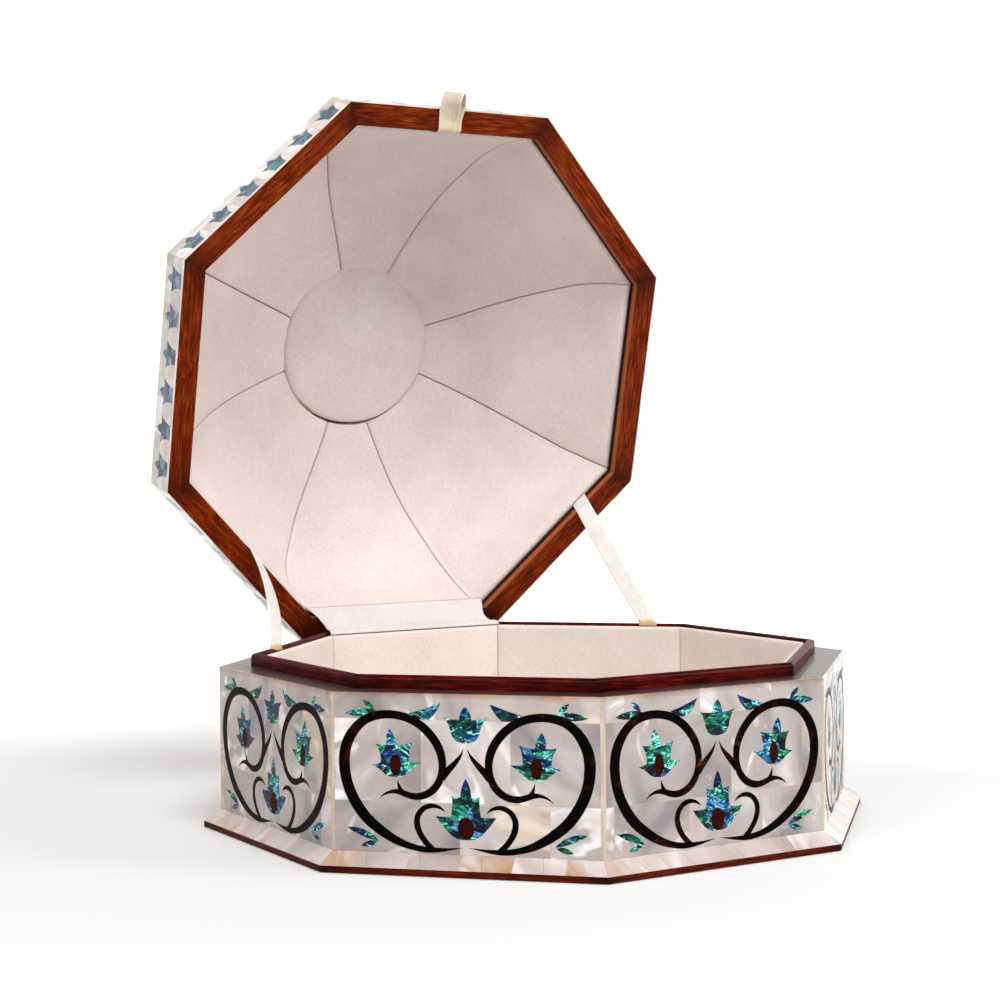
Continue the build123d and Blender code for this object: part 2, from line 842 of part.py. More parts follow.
gore_route = [
    (135.9, 8.6),
    (130.3, 28),
    (122.9, 42),
    (110.9, 55),
    (96.1, 68),
    (81.3, 76),
    (64.7, 82),
    (48, 87),
]
gore_thickness = 2.0
gore_front = [(-apothem, height) for apothem, height in gore_route]
gore_back = []
for place, point in enumerate(gore_front):
    ahead = Vector(*gore_front[min(place + 1, len(gore_front) - 1)])
    behind = Vector(*gore_front[max(place - 1, 0)])
    along = (ahead - behind).normalized()
    gore_back.append(Vector(*point) + Vector(-along.Y, along.X) * gore_thickness)
with BuildPart() as gore:
    with BuildSketch(Plane.YZ):
        with BuildLine():
            Spline(*gore_front)
            Spline(*gore_back)
            Line(gore_front[0], gore_back[0])
            Line(gore_front[-1], gore_back[-1])
        make_face()
    extrude(amount=80, both=True)
    add(wedge.part, mode=Mode.INTERSECT)
    with Locations((0, button_shift, button_face)):
        Cylinder(
            button_radius + 0.4,
            20,
            align=(Align.CENTER, Align.CENTER, Align.MIN),
            mode=Mode.SUBTRACT,
        )
lid_gores = eight_round_lid(gore)
save(lid_gores, "lid_gores")

with BuildPart(lid_plane) as lid_button_pad:
    with BuildSketch(lid_plane.offset(button_face)):
        with Locations((0, button_shift)):
            Circle(button_radius)
    extrude(amount=crown_underside - 0.05 - button_face)
    fillet(lid_button_pad.edges().filter_by(GeomType.CIRCLE), 4.0)
save(lid_button_pad, "lid_button_pad")

# Soft joints between base and lid: hinge cloth, ribbon stays and pull tab

ribbon_width = 9.5
ribbon_thickness = 0.4
cloth_half_width = 54.0
cloth_thickness = 0.5
cloth_route = [(129.5, 86.9), (135.8, 86.9), (146.5, 93.6), (154.2, 95.4)]

with BuildPart() as hinge_cloth:
    with BuildSketch(Plane.YZ):
        with BuildLine():
            Polyline(
                *cloth_route,
                *[(back, up + cloth_thickness) for back, up in reversed(cloth_route)],
                close=True,
            )
        make_face()
    extrude(amount=cloth_half_width, both=True)
save(hinge_cloth, "hinge_cloth")


def stay_ribbon(base_end, lid_end, width_direction):
    """A taut ribbon between a point in the base and one in the lid."""
    start = Vector(*base_end)
    end = Vector(*lid_end)
    span = end - start
    along = span.normalized()
    level = Vector(*width_direction)
    across = (level - along * level.dot(along)).normalized()
    with BuildPart(Plane(origin=start + span * 0.5, x_dir=across, z_dir=along)) as ribbon:
        Box(ribbon_width, ribbon_thickness, span.length)
    return ribbon


ribbon_foot = 88.0
right_lid_end = lid_plane.from_local_coords((117.2, 74.2, -0.3))
left_lid_end = lid_plane.from_local_coords((-95.5, 95.5, -0.3))
stay_ribbon_right = stay_ribbon((114.5, 67.5, ribbon_foot), right_lid_end, (0.79, -0.43, 0.44))
save(stay_ribbon_right, "stay_ribbon_right")
stay_ribbon_left = stay_ribbon((-112.5, 70.5, ribbon_foot), left_lid_end, (0.79, 0.43, -0.44))
save(stay_ribbon_left, "stay_ribbon_left")

tab_half_width = 5.4
tab_across = -3.0
tab_reach = 157.5
tab_profile = [
    (136.1, 8.2),
    (136.5, 8.2),
    (136.5, -0.1),
    (tab_reach, -0.1),
    (tab_reach, -0.85),
    (136.1, -0.85),
]
with BuildPart() as flat_tab:
    with BuildSketch(Plane.YZ.offset(tab_across)):
        with BuildLine():
            Polyline(*[(-out, up) for out, up in tab_profile], close=True)
        make_face()
    extrude(amount=tab_half_width, both=True)
with BuildPart(lid_plane) as pull_tab:
    add(flat_tab.part)
save(pull_tab, "pull_tab")
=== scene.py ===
import json
import math
import bmesh
import bpy
import numpy as np
from mathutils import Matrix, Vector


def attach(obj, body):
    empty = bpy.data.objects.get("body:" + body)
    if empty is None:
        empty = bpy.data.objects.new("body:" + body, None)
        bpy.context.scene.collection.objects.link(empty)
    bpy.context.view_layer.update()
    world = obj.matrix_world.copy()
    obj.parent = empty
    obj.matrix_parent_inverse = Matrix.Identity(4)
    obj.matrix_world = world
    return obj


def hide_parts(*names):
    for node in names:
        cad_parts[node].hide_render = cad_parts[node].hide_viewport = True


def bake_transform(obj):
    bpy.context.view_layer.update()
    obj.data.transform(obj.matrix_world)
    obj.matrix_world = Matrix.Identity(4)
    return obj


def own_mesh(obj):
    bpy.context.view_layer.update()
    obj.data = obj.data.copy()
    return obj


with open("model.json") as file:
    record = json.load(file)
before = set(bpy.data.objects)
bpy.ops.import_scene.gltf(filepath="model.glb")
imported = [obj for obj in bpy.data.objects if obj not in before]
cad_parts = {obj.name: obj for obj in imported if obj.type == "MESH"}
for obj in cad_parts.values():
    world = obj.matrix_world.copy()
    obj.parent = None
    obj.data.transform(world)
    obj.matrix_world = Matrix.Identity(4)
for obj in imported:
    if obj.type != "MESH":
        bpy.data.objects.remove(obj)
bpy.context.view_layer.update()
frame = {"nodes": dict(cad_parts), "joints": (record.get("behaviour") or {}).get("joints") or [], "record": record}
nodes = frame["nodes"]
print("frame loaded,", len(nodes), "nodes")

mm = 0.001
turnEighth = math.pi / 4
halfSlope = math.tan(math.pi / 8)  # half a side's width over its distance from the middle

# closed, the lid's rim plane is rimShut above the floor; open, it has turned back about the hinge
hinge = frame["joints"][0]
hingePos = np.array(hinge["pos_m"])
openAngle = math.radians(-hinge["range_deg"][0])
rimShut = 81.1 * mm


def lidPoint(points):
    # lid points, with height measured into the dome from the rim, turned open about the hinge
    shut = np.asarray(points, float) + np.array([0, 0, rimShut]) - hingePos
    c, s = math.cos(openAngle), math.sin(openAngle)
    x, y, z = np.moveaxis(shut, -1, 0)
    return np.stack([x, y * c + z * s, z * c - y * s], -1) + hingePos


def sidePoint(points, side):
    # points drawn on the front side, turned to another side (0 front, counting towards the right)
    c, s = math.cos(side * turnEighth), math.sin(side * turnEighth)
    x, y, z = np.moveaxis(np.asarray(points, float), -1, 0)
    return np.stack([x * c - y * s, x * s + y * c, z], -1)


lidOrigin = lidPoint([0, 0, 0])
lidAxis = lidPoint([0, 0, 1]) - lidOrigin  # into the dome


def cornersOf(grid, wrap):
    # what the four corners of each quad hold; a grid that wraps is joined to its own first column
    if wrap:
        grid = np.concatenate([grid, grid[:, :1]], 1)
    return np.stack([grid[:-1, :-1], grid[:-1, 1:], grid[1:, 1:], grid[1:, :-1]], 2)


def gridMesh(name, points, uv, closeU=False):
    # a grid of points (rows along v, columns along u) joined by quads; closeU wraps each row round
    points = np.asarray(points, float)
    rows, columns = points.shape[:2]
    quads = cornersOf(np.arange(rows * columns).reshape(rows, columns), closeU).reshape(-1, 4)
    mesh = bpy.data.meshes.new(name)
    mesh.vertices.add(rows * columns)
    mesh.vertices.foreach_set("co", points.reshape(-1))
    mesh.loops.add(quads.size)
    mesh.loops.foreach_set("vertex_index", quads.reshape(-1).astype(np.int32))
    mesh.polygons.add(len(quads))
    mesh.polygons.foreach_set("loop_start", np.arange(0, quads.size, 4, dtype=np.int32))
    mesh.polygons.foreach_set("loop_total", np.full(len(quads), 4, dtype=np.int32))
    mesh.update(calc_edges=True)
    layer = mesh.uv_layers.new(name="flat")
    layer.data.foreach_set("uv", cornersOf(np.asarray(uv, float), closeU).reshape(-1))
    mesh.polygons.foreach_set("use_smooth", np.ones(len(quads), dtype=bool))
    mesh.validate()
    piece = bpy.data.objects.new(name, mesh)
    bpy.context.scene.collection.objects.link(piece)
    return piece


weldReach = 1e-7  # metres


def weld(piece):
    # merges the doubled points at poles and seams and turns the faces outwards
    work = bmesh.new()
    work.from_mesh(piece.data)
    bmesh.ops.remove_doubles(work, verts=work.verts, dist=weldReach)
    bmesh.ops.recalc_face_normals(work, faces=work.faces)
    work.to_mesh(piece.data)
    work.free()


def runLength(points):
    # how far along the line each point is
    steps = np.linalg.norm(np.diff(points, axis=0), axis=1)
    return np.concatenate([[0], np.cumsum(steps)])


def smoothRoute(points, count):
    # a smooth curve through given points: cubic Hermite with slopes from each point's neighbours
    points = np.asarray(points, float)
    reach = runLength(points)
    slope = np.gradient(points, reach, axis=0)
    at = np.linspace(0, reach[-1], count)
    k = np.clip(np.searchsorted(reach, at, "right") - 1, 0, len(points) - 2)
    span = (reach[k + 1] - reach[k])[:, None]
    t = (at - reach[k])[:, None] / span
    return (
        (2 * t**3 - 3 * t**2 + 1) * points[k]
        + (t**3 - 2 * t**2 + t) * span * slope[k]
        + (3 * t**2 - 2 * t**3) * points[k + 1]
        + (t**3 - t**2) * span * slope[k + 1]
    )


def rounded(angle, power):
    # the cosine and sine of a superellipse: a low power gives a flat pad with rolled edges; rounding
    # them makes the zeros exact, so that opposite faces meet at the ends
    c, s = np.round(np.cos(angle), 12), np.round(np.sin(angle), 12)
    return np.sign(c) * np.abs(c) ** power, np.sign(s) * np.abs(s) ** power



class Wire:
    # one socket of a node tree; arithmetic on it adds Math nodes
    def __init__(self, finish, socket):
        self.finish, self.socket = finish, socket

    def maths(self, operation, *others):
        return self.finish.node("Math", {"operation": operation}, {0: self, **dict(enumerate(others, 1))})

    def __add__(self, other):
        return self.maths("ADD", other)

    __radd__ = __add__

    def __sub__(self, other):
        return self.maths("SUBTRACT", other)

    def __rsub__(self, other):
        return self.finish.node("Math", {"operation": "SUBTRACT"}, {0: other, 1: self})

    def __mul__(self, other):
        return self.maths("MULTIPLY", other)

    __rmul__ = __mul__

    def __truediv__(self, other):
        return self.maths("DIVIDE", other)

    def __abs__(self):
        return self.maths("ABSOLUTE")


class Finish:
    # a material being built round one Principled shader
    def __init__(self, name, **fixed):
        self.material = bpy.data.materials.new(name)
        self.material.use_nodes = True
        self.tree = self.material.node_tree
        self.tree.nodes.clear()
        out = self.tree.nodes.new("ShaderNodeOutputMaterial")
        self.shader = self.tree.nodes.new("ShaderNodeBsdfPrincipled")
        self.tree.links.new(self.shader.outputs[0], out.inputs[0])
        for socket, value in fixed.items():
            self.shader.inputs[socket.replace("_", " ")].default_value = value

    def node(self, kind, settings=None, sockets=None, output=0):
        made = self.tree.nodes.new("ShaderNode" + kind)
        for key, value in (settings or {}).items():
            if key == "stops":
                ramp = made.color_ramp
                while len(ramp.elements) < len(value):
                    ramp.elements.new(0.5)
                for element, (place, colour) in zip(ramp.elements, value):
                    element.position = place
                    element.color = (*colour, 1)
            else:
                setattr(made, key, value)
        for key, value in (sockets or {}).items():
            if isinstance(value, Wire):
                self.tree.links.new(value.socket, made.inputs[key])
            else:
                made.inputs[key].default_value = value
        return Wire(self, made.outputs[output])

    def place(self):
        return self.node("TexCoord", output="Object")

    def split(self, vector):
        made = self.node("SeparateXYZ", sockets={0: vector})
        return tuple(Wire(self, socket) for socket in made.socket.node.outputs)

    def join(self, x, y, z):
        return self.node("CombineXYZ", sockets={0: x, 1: y, 2: z})

    def noise(self, vector, scale, detail=2.0, roughness=0.5, distortion=0.0):
        return self.node(
            "TexNoise",
            sockets={
                "Vector": vector,
                "Scale": scale,
                "Detail": detail,
                "Roughness": roughness,
                "Distortion": distortion,
            },
        )

    def chance(self, vector):
        # one random value for each cell
        return self.node("TexWhiteNoise", {"noise_dimensions": "3D"}, {"Vector": vector})

    def ramp(self, factor, stops):
        return self.node("ValToRGB", {"stops": stops}, {0: factor})

    def length(self, vector):
        return self.node("VectorMath", {"operation": "LENGTH"}, {0: vector}, output=1)

    def level(self, factor, low, high):
        # 0 below low, 1 above high
        return self.node("MapRange", {"clamp": True}, {0: factor, 1: low, 2: high, 3: 0.0, 4: 1.0})

    def fade(self, factor, low, high):
        # 1 below low, 0 above high
        return self.node("MapRange", {"clamp": True}, {0: factor, 1: low, 2: high, 3: 1.0, 4: 0.0})

    def mix(self, factor, first, second, blend="MIX"):
        sockets = {0: factor}
        for key, colour in ((6, first), (7, second)):
            sockets[key] = colour if isinstance(colour, Wire) else (*colour, 1)
        return self.node("Mix", {"data_type": "RGBA", "blend_type": blend}, sockets, output=2)

    def bump(self, height, distance, strength=1.0, under=None):
        sockets = {"Height": height, "Distance": distance, "Strength": strength}
        if under is not None:
            sockets["Normal"] = under
        return self.node("Bump", sockets=sockets)

    def feed(self, **wires):
        for socket, wire in wires.items():
            self.tree.links.new(wire.socket, self.shader.inputs[socket.replace("_", " ")])
        return self.material


def sideCoordinates(x, y):
    # which side a point is on (a whole number), how far it is along that side, and how far out
    turn = y.maths("ARCTAN2", x) / turnEighth
    side = turn.maths("ROUND")
    angle = side * turnEighth
    c, s = angle.maths("COSINE"), angle.maths("SINE")
    return side, y * c - x * s, x * c + y * s


def lidCoordinates(finish, place):
    # the same for the open lid, measured from its own axis, with the depth into the dome
    x, y, z = finish.split(place)
    y, z = y - float(lidOrigin[1]), z - float(lidOrigin[2])
    c, s = math.cos(openAngle), math.sin(openAngle)
    return x, y * c - z * s, y * s + z * c


def shellFinish(name, onLid, look):
    # mother-of-pearl: cloudy patches, each slip of shell with its own tone and ripple direction
    finish = Finish(name, Specular_IOR_Level=0.45, IOR=1.5)
    place = finish.place()
    x, y, z = lidCoordinates(finish, place) if onLid else finish.split(place)
    side, along = sideCoordinates(x, y)[:2]
    flat = finish.join(along, z, side * 0.37)
    # slips, about slipLong by slipHigh, with slightly wandering joints
    slip = finish.join(along / look["slipLong"] + side * 0.31, z / look["slipHigh"] + 0.15, side * 1.7)
    wander = finish.noise(flat, 60, 1.0) - 0.5
    u, v, w = finish.split(slip)
    row = v.maths("FLOOR")
    u = u + row * 0.43
    column = u.maths("FLOOR")
    tone = finish.chance(finish.join(column, row, w))
    tilt = finish.chance(finish.join(row, w, column))
    edgeU = abs(u.maths("FRACT") - 0.5 + wander * 0.02)
    edgeV = abs(v.maths("FRACT") - 0.5)
    seam = finish.level(edgeU.maths("MAXIMUM", edgeV), 0.488, 0.499)
    # ripples of the nacre, stretched along a direction that changes from slip to slip
    swing = tilt * 3.1
    cosine, sine = swing.maths("COSINE"), swing.maths("SINE")
    lengthwise = (along * cosine + z * sine) * look["streak"]
    ripplePlace = finish.join(lengthwise, z * cosine - along * sine, tone * 3 + side)
    cloud = finish.noise(ripplePlace, look["cloudScale"], 2.5, 0.5, 0.6)
    flash = finish.noise(ripplePlace, look["cloudScale"] * 1.7, 2.0, 0.5, 1.0)
    fine = finish.noise(ripplePlace, 420, 3.0, 0.6)
    base = finish.ramp(cloud + (tone - 0.5) * 0.16, look["tones"])
    glow = finish.level(flash + (tone - 0.5) * 0.16, 0.56, 0.70) * look["flash"]
    colour = finish.mix(glow, base, look["bright"])
    blush = finish.level(finish.noise(flat, 26, 1.0), 0.5, 0.66) * look["blush"]
    colour = finish.mix(blush, colour, look["blushColour"], "MULTIPLY")
    amber = finish.level(tilt + cloud * 0.5, *look["amberFrom"]) * finish.level(flash, 0.40, 0.60)
    colour = finish.mix(amber * look["amber"], colour, look["amberColour"])
    colour = finish.mix(seam * look["seam"], colour, look["seamColour"])
    if look["stain"]:
        low, high, amount, tint = look["stain"]
        wobble = (finish.noise(flat, 90, 2.0) - 0.5) * 3 * mm
        stain = finish.level(z + wobble, low, high) * amount
        colour = finish.mix(stain, colour, tint, "MULTIPLY")
    ripple = finish.bump(cloud + flash * 0.4, 0.9 * mm, look["ripple"])
    surface = finish.bump(fine, 0.05 * mm, 0.3, ripple)
    rough = finish.level(flash, 0.3, 0.75) * -0.1 + 0.3
    return finish.feed(Base_Color=colour, Roughness=rough, Normal=surface)


def abaloneFinish(name, onLid, look):
    # abalone: each slip has its own run of wavy layers, from near black through blue and green to glints
    finish = Finish(name, Specular_IOR_Level=0.12, Coat_Weight=0.05, Coat_Roughness=0.08)
    place = finish.place()
    x, y, z = lidCoordinates(finish, place) if onLid else finish.split(place)
    side, along = sideCoordinates(x, y)[:2]
    flat = finish.join(along, z, side * 0.9)
    slipPlace = finish.join(along, z * 1.5, side * 0.9)
    sockets = {"Vector": slipPlace, "Scale": look["slipScale"]}
    slips = finish.node("TexVoronoi", {"feature": "F1"}, sockets, output="Color")
    turn, hueShift, lift = finish.split(slips)
    swing = turn * 1.3 - 0.65
    cosine, sine = swing.maths("COSINE"), swing.maths("SINE")
    layered = finish.join((along * cosine - z * sine) * 0.35, z * cosine + along * sine, hueShift * 2 + side)
    waves = finish.noise(layered, look["layerScale"], 3.0, 0.6, 1.4)
    glints = finish.noise(layered, look["layerScale"] * 2.1, 3.0, 0.6, 2.2)
    depth = waves * 0.75 + glints * 0.35 + (lift - 0.5) * 0.14 - 0.05
    green = finish.ramp(depth, look["green"])
    blue = finish.ramp(depth, look["blue"])
    hue = finish.level(finish.noise(flat, 60, 1.0) + (hueShift - 0.5) * 0.7, 0.46, 0.62)
    colour = finish.mix(hue, green, blue)
    spark = finish.level(glints + (lift - 0.5) * 0.12, 0.59, 0.66) * look["spark"]
    colour = finish.mix(spark, colour, look["sparkColour"])
    surface = finish.bump(waves + glints * 0.5, 0.15 * mm, 0.5)
    rough = glints * -0.2 + 0.38
    return finish.feed(Base_Color=colour, Roughness=rough, Normal=surface)


def tortoiseshellFinish(name, look):
    # near-black horn with red-brown flecks and a few honey patches; the flower hearts are redder
    finish = Finish(name, Specular_IOR_Level=0.02, Coat_Weight=0.02, Coat_Roughness=0.1)
    place = finish.place()
    x, y, z = finish.split(place)
    along = sideCoordinates(x, y)[1]
    patch = finish.level(finish.noise(place, 22, 2.0, 0.5, 0.6), 0.60, 0.72)
    fleck = finish.level(finish.noise(place, 130, 3.0, 0.6, 1.0), 0.56, 0.72)
    honey = finish.mix(finish.noise(place, 260, 2.0), look["honey"], look["brown"])
    colour = finish.mix(fleck * 0.7, look["dark"], look["brown"])
    colour = finish.mix(patch * fleck, colour, honey)
    for heartAlong, heartHeight in look["hearts"]:
        far = finish.length(finish.join(abs(along) - heartAlong, z - heartHeight, 0.0))
        heart = finish.fade(far, look["heartReach"], look["heartReach"] + 0.5 * mm)
        colour = finish.mix(heart * (fleck * 0.4 + 0.6), colour, look["heart"])
    surface = finish.bump(fleck, 0.04 * mm, 0.3)
    return finish.feed(Base_Color=colour, Roughness=fleck * 0.08 + 0.3, Normal=surface)


def woodFinish(name, onLid, look):
    # straight-grained stained wood: fibres along each strip, pores, darker knots and end corners
    finish = Finish(name, Specular_IOR_Level=look["gloss"], Coat_Weight=look["polish"])
    finish.shader.inputs["Coat Roughness"].default_value = look["polishRough"]
    place = finish.place()
    x, y, z = lidCoordinates(finish, place) if onLid else finish.split(place)
    side, along, out = sideCoordinates(x, y)
    strip = finish.join(along * look["stretch"], out, z + side * 0.05)
    sway = finish.noise(finish.join(along, out, z + side * 0.07), 14, 2.0)
    fibre = finish.join(along * look["stretch"] + sway * 0.004, out + sway * 0.006, z + side * 0.05)
    grain = finish.noise(fibre, look["grain"], 5.0, 0.65, 0.3)
    pores = finish.noise(strip, look["grain"] * 4.5, 2.0, 0.7)
    figure = finish.noise(finish.join(along, out * 2.5, z + side * 0.3), 24, 3.0, 0.55, 1.2)
    colour = finish.ramp(grain * 0.85 + figure * 0.24 - 0.05, look["tones"])
    colour = finish.mix(finish.level(pores, 0.56, 0.72) * 0.55, colour, look["poreAndShade"])
    knots = finish.level(figure, 0.6, 0.74) * look["knots"]
    colour = finish.mix(knots, colour, look["poreAndShade"])
    fromMitre = abs(along) - out * halfSlope + finish.noise(place, 70, 2.0) * 14 * mm
    corner = finish.level(fromMitre, -10 * mm, 6 * mm)
    colour = finish.mix(corner * look["corner"], colour, look["poreAndShade"])
    if look["wall"]:
        # the strip's inner wall is painted paler, a painted reflection, and painted dark with shade where it meets
        # the lining
        paintedWallSheen = finish.level(z, 0.4 * mm, 1.4 * mm) * finish.fade(out, look["wall"] - 1 * mm, look["wall"])
        colour = finish.mix(paintedWallSheen * 0.55, colour, look["wallSheenColour"])
        # painted shade: the pore colour laid deeper down the wall, where it meets the lining
        colour = finish.mix(finish.level(z, 4.2 * mm, 5.6 * mm) * paintedWallSheen, colour, look["poreAndShade"])
    surface = finish.bump(grain + pores * 0.5, look["relief"], 0.6)
    rough = grain * 0.22 + look["rough"]
    return finish.feed(Base_Color=colour, Roughness=rough, Normal=surface)


def clothFinish(name, look):
    # plain weave on the piece's own flat pattern: warp and weft, slubs, and a faint cloudiness
    finish = Finish(name, Specular_IOR_Level=0.2, Sheen_Weight=look["sheen"], Sheen_Roughness=0.5)
    finish.shader.inputs["Sheen Tint"].default_value = (*look["sheenTint"], 1)
    flat = finish.node("TexCoord", output="UV")
    u, v = finish.split(flat)[:2]
    thread = 2 * math.pi / look["thread"]
    warp, weft = (u * thread).maths("SINE"), (v * thread).maths("SINE")
    weave = (warp * weft) * 0.5 + 0.5
    slubU = finish.noise(finish.join(u * 0.12, v, 0.0), 2600, 2.0, 0.7)
    slubV = finish.noise(finish.join(u, v * 0.12, 3.0), 2600, 2.0, 0.7)
    slub = (slubU + slubV) * 0.5
    cloud = finish.noise(flat, 26, 3.0, 0.6)
    colour = finish.ramp(slub * 0.9 + cloud * 0.3 + weave * 0.2 - 0.2, look["tones"])
    fluff = finish.level(finish.noise(flat, 900, 2.0), 0.7, 0.82) * 0.35
    colour = finish.mix(fluff, colour, look["fleck"])
    if look["glueRing"]:
        # glue squeezed out under the button, on the side nearest the hinge
        place = finish.place()
        x, y = lidCoordinates(finish, place)[:2]
        reach = finish.length(finish.join(x, y - look["ringShift"], 0.0))
        ring = finish.fade(abs(reach - look["glueRing"]), 0.5 * mm, 1.2 * mm)
        ring = ring * finish.level(y, 28 * mm, 36 * mm)
        blot = finish.level(finish.noise(place, 60, 2.0), 0.42, 0.50)
        colour = finish.mix(ring * blot * 0.8, colour, look["glue"])
    # a painted shadow line, from that length along the cloth to its end, where the hinge cloth meets the lid
    # lining
    if look["shadeLine"]:
        shadeLine = finish.level(v, look["shadeLine"], look["shadeLine"] + 0.3 * mm)
        colour = finish.mix(shadeLine * 0.7, colour, look["shadeLineColour"])
    surface = finish.bump(weave * 0.6 + slub, 0.09 * mm, look["relief"])
    wave = finish.bump(cloud, 0.5 * mm, 0.35, surface)
    return finish.feed(Base_Color=colour, Roughness=slub * 0.15 + 0.8, Normal=wave)


def satinFinish(name, look):
    # ribbon: fine ribs across, a woven selvedge at each edge, and a stain of glue at one end
    finish = Finish(name, Specular_IOR_Level=0.35, Sheen_Weight=0.2)
    flat = finish.node("TexCoord", output="UV")
    u, v = finish.split(flat)[:2]  # u across from the middle, v along, both in metres
    rib = (v * (2 * math.pi / (0.35 * mm))).maths("SINE") * 0.5 + 0.5
    thread = finish.noise(finish.join(u, v * 0.05, 0.0), 2500, 2.0, 0.7)
    edge = finish.level(abs(u), look["half"] - 0.9 * mm, look["half"] - 0.5 * mm)
    colour = finish.ramp(thread * 0.7 + finish.noise(flat, 120, 2.0) * 0.3, look["tones"])
    colour = finish.mix(edge * 0.5, colour, look["selvedge"])
    blotch = finish.noise(flat, 330, 2.0, 0.6, 1.0)
    near = finish.fade(v, 0.0, look["stainLong"])
    stain = finish.level(near + blotch, 0.85, 1.15) * look["stain"]
    colour = finish.mix(stain, colour, look["glue"])
    surface = finish.bump(rib + thread * 0.6 + edge, 0.05 * mm, 0.5)
    return finish.feed(Base_Color=colour, Roughness=thread * 0.2 + look["rough"], Normal=surface)


def brassFinish(name, look):
    # drawn brass: fine lines along the hinge, dull spots
    finish = Finish(name, Metallic=1.0)
    place = finish.place()
    x, y, z = finish.split(place)
    lines = finish.noise(finish.join(x * 0.05, y, z), 1500, 3.0, 0.6)
    spots = finish.noise(place, 160, 3.0, 0.6)
    colour = finish.ramp(spots, [(0.3, look["dull"]), (0.7, look["bright"])])
    rough = lines * 0.2 + spots * 0.2 + 0.15
    return finish.feed(Base_Color=colour, Roughness=rough, Normal=finish.bump(lines, 0.03 * mm, 0.5))


pearlTones = [
    (0.30, (0.24, 0.22, 0.23)),
    (0.42, (0.37, 0.325, 0.315)),
    (0.54, (0.44, 0.39, 0.38)),
    (0.68, (0.60, 0.57, 0.58)),
]
sideShell = {
    "slipLong": 41 * mm,
    "slipHigh": 37 * mm,
    "cloudScale": 36,
    "streak": 0.62,
    "tones": pearlTones,
    "bright": (0.94, 0.93, 0.94),
    "flash": 0.8,
    "blush": 0.45,
    "blushColour": (0.95, 0.84, 0.77),
    "amber": 0.55,
    "amberFrom": (1.05, 1.15),
    "amberColour": (0.62, 0.46, 0.28),
    "seam": 0.35,
    "seamColour": (0.50, 0.34, 0.20),
    "ripple": 0.25,
    "stain": (77.5 * mm, 80.5 * mm, 0.8, (0.72, 0.42, 0.18)),
}
plinthShell = {
    **sideShell,
    "slipLong": 24 * mm,
    "slipHigh": 40 * mm,
    "tones": [(0.3, (0.38, 0.31, 0.28)), (0.5, (0.50, 0.43, 0.40)), (0.7, (0.63, 0.58, 0.57))],
    "flash": 0.35,
    "stain": None,
    "amber": 0.9,
    "amberFrom": (0.86, 0.98),
    "amberColour": (0.36, 0.17, 0.02),
    "seam": 0.6,
}
bandShell = {
    **sideShell,
    "slipLong": 20 * mm,
    "slipHigh": 15 * mm,
    "stain": None,
    "seam": 0.6,
    "seamColour": (0.62, 0.42, 0.20),
    "tones": [(0.3, (0.46, 0.41, 0.38)), (0.5, (0.62, 0.57, 0.54)), (0.65, (0.78, 0.75, 0.74))],
}
domeShell = {**sideShell, "slipLong": 33 * mm, "slipHigh": 21 * mm, "stain": None}
boneShell = {
    **sideShell,
    "slipLong": 40 * mm,
    "slipHigh": 90 * mm,
    "seam": 0.0,
    "flash": 0.1,
    "amber": 0.2,
    "tones": [(0.3, (0.44, 0.34, 0.25)), (0.7, (0.60, 0.50, 0.40))],
}
abalone = {
    "slipScale": 115,
    "layerScale": 210,
    "green": [
        (0.40, (0.001, 0.004, 0.006)),
        (0.47, (0.002, 0.03, 0.03)),
        (0.53, (0.004, 0.12, 0.07)),
        (0.58, (0.01, 0.24, 0.11)),
        (0.63, (0.03, 0.40, 0.28)),
        (0.70, (0.16, 0.50, 0.50)),
    ],
    "blue": [
        (0.40, (0.001, 0.002, 0.008)),
        (0.47, (0.003, 0.010, 0.06)),
        (0.54, (0.006, 0.04, 0.20)),
        (0.59, (0.01, 0.16, 0.30)),
        (0.65, (0.05, 0.12, 0.45)),
        (0.71, (0.30, 0.22, 0.60)),
    ],
    "spark": 1.0,
    "sparkColour": (0.28, 0.95, 0.80),
}
bandAbalone = {
    **abalone,
    "green": [
        (0.36, (0.03, 0.03, 0.05)),
        (0.48, (0.07, 0.11, 0.14)),
        (0.56, (0.06, 0.24, 0.22)),
        (0.66, (0.22, 0.34, 0.34)),
    ],
    "blue": [
        (0.36, (0.03, 0.03, 0.06)),
        (0.48, (0.09, 0.10, 0.18)),
        (0.56, (0.14, 0.16, 0.34)),
        (0.66, (0.34, 0.32, 0.42)),
    ],
    "spark": 0.4,
    "sparkColour": (0.45, 0.62, 0.62),
}
tortoiseshell = {
    "dark": (0.0008, 0.0004, 0.0004),
    "brown": (0.055, 0.006, 0.002),
    "honey": (0.22, 0.11, 0.02),
    "heart": (0.045, 0.003, 0.0015),
    "heartReach": 6.0 * mm,
    "hearts": [(0.0, 20.4 * mm), (32.3 * mm, 47.9 * mm)],
}
rimWood = {
    "stretch": 0.10,
    "grain": 760,
    "tones": [
        (0.30, (0.035, 0.004, 0.0003)),
        (0.45, (0.10, 0.010, 0.0005)),
        (0.56, (0.19, 0.024, 0.001)),
        (0.72, (0.36, 0.075, 0.005)),
    ],
    "poreAndShade": (0.02, 0.003, 0.0008),
    "knots": 0.6,
    "corner": 0.7,
    # wall: where the rim's inner wall stands; on it, a painted reflection in the wall colour and a painted shadow
    # line
    "wall": 138.0 * mm,
    "wallSheenColour": (0.42, 0.14, 0.05),
    "relief": 0.08 * mm,
    "rough": 0.38,
    "gloss": 0.04,
    "polish": 0.02,
    "polishRough": 0.3,
}
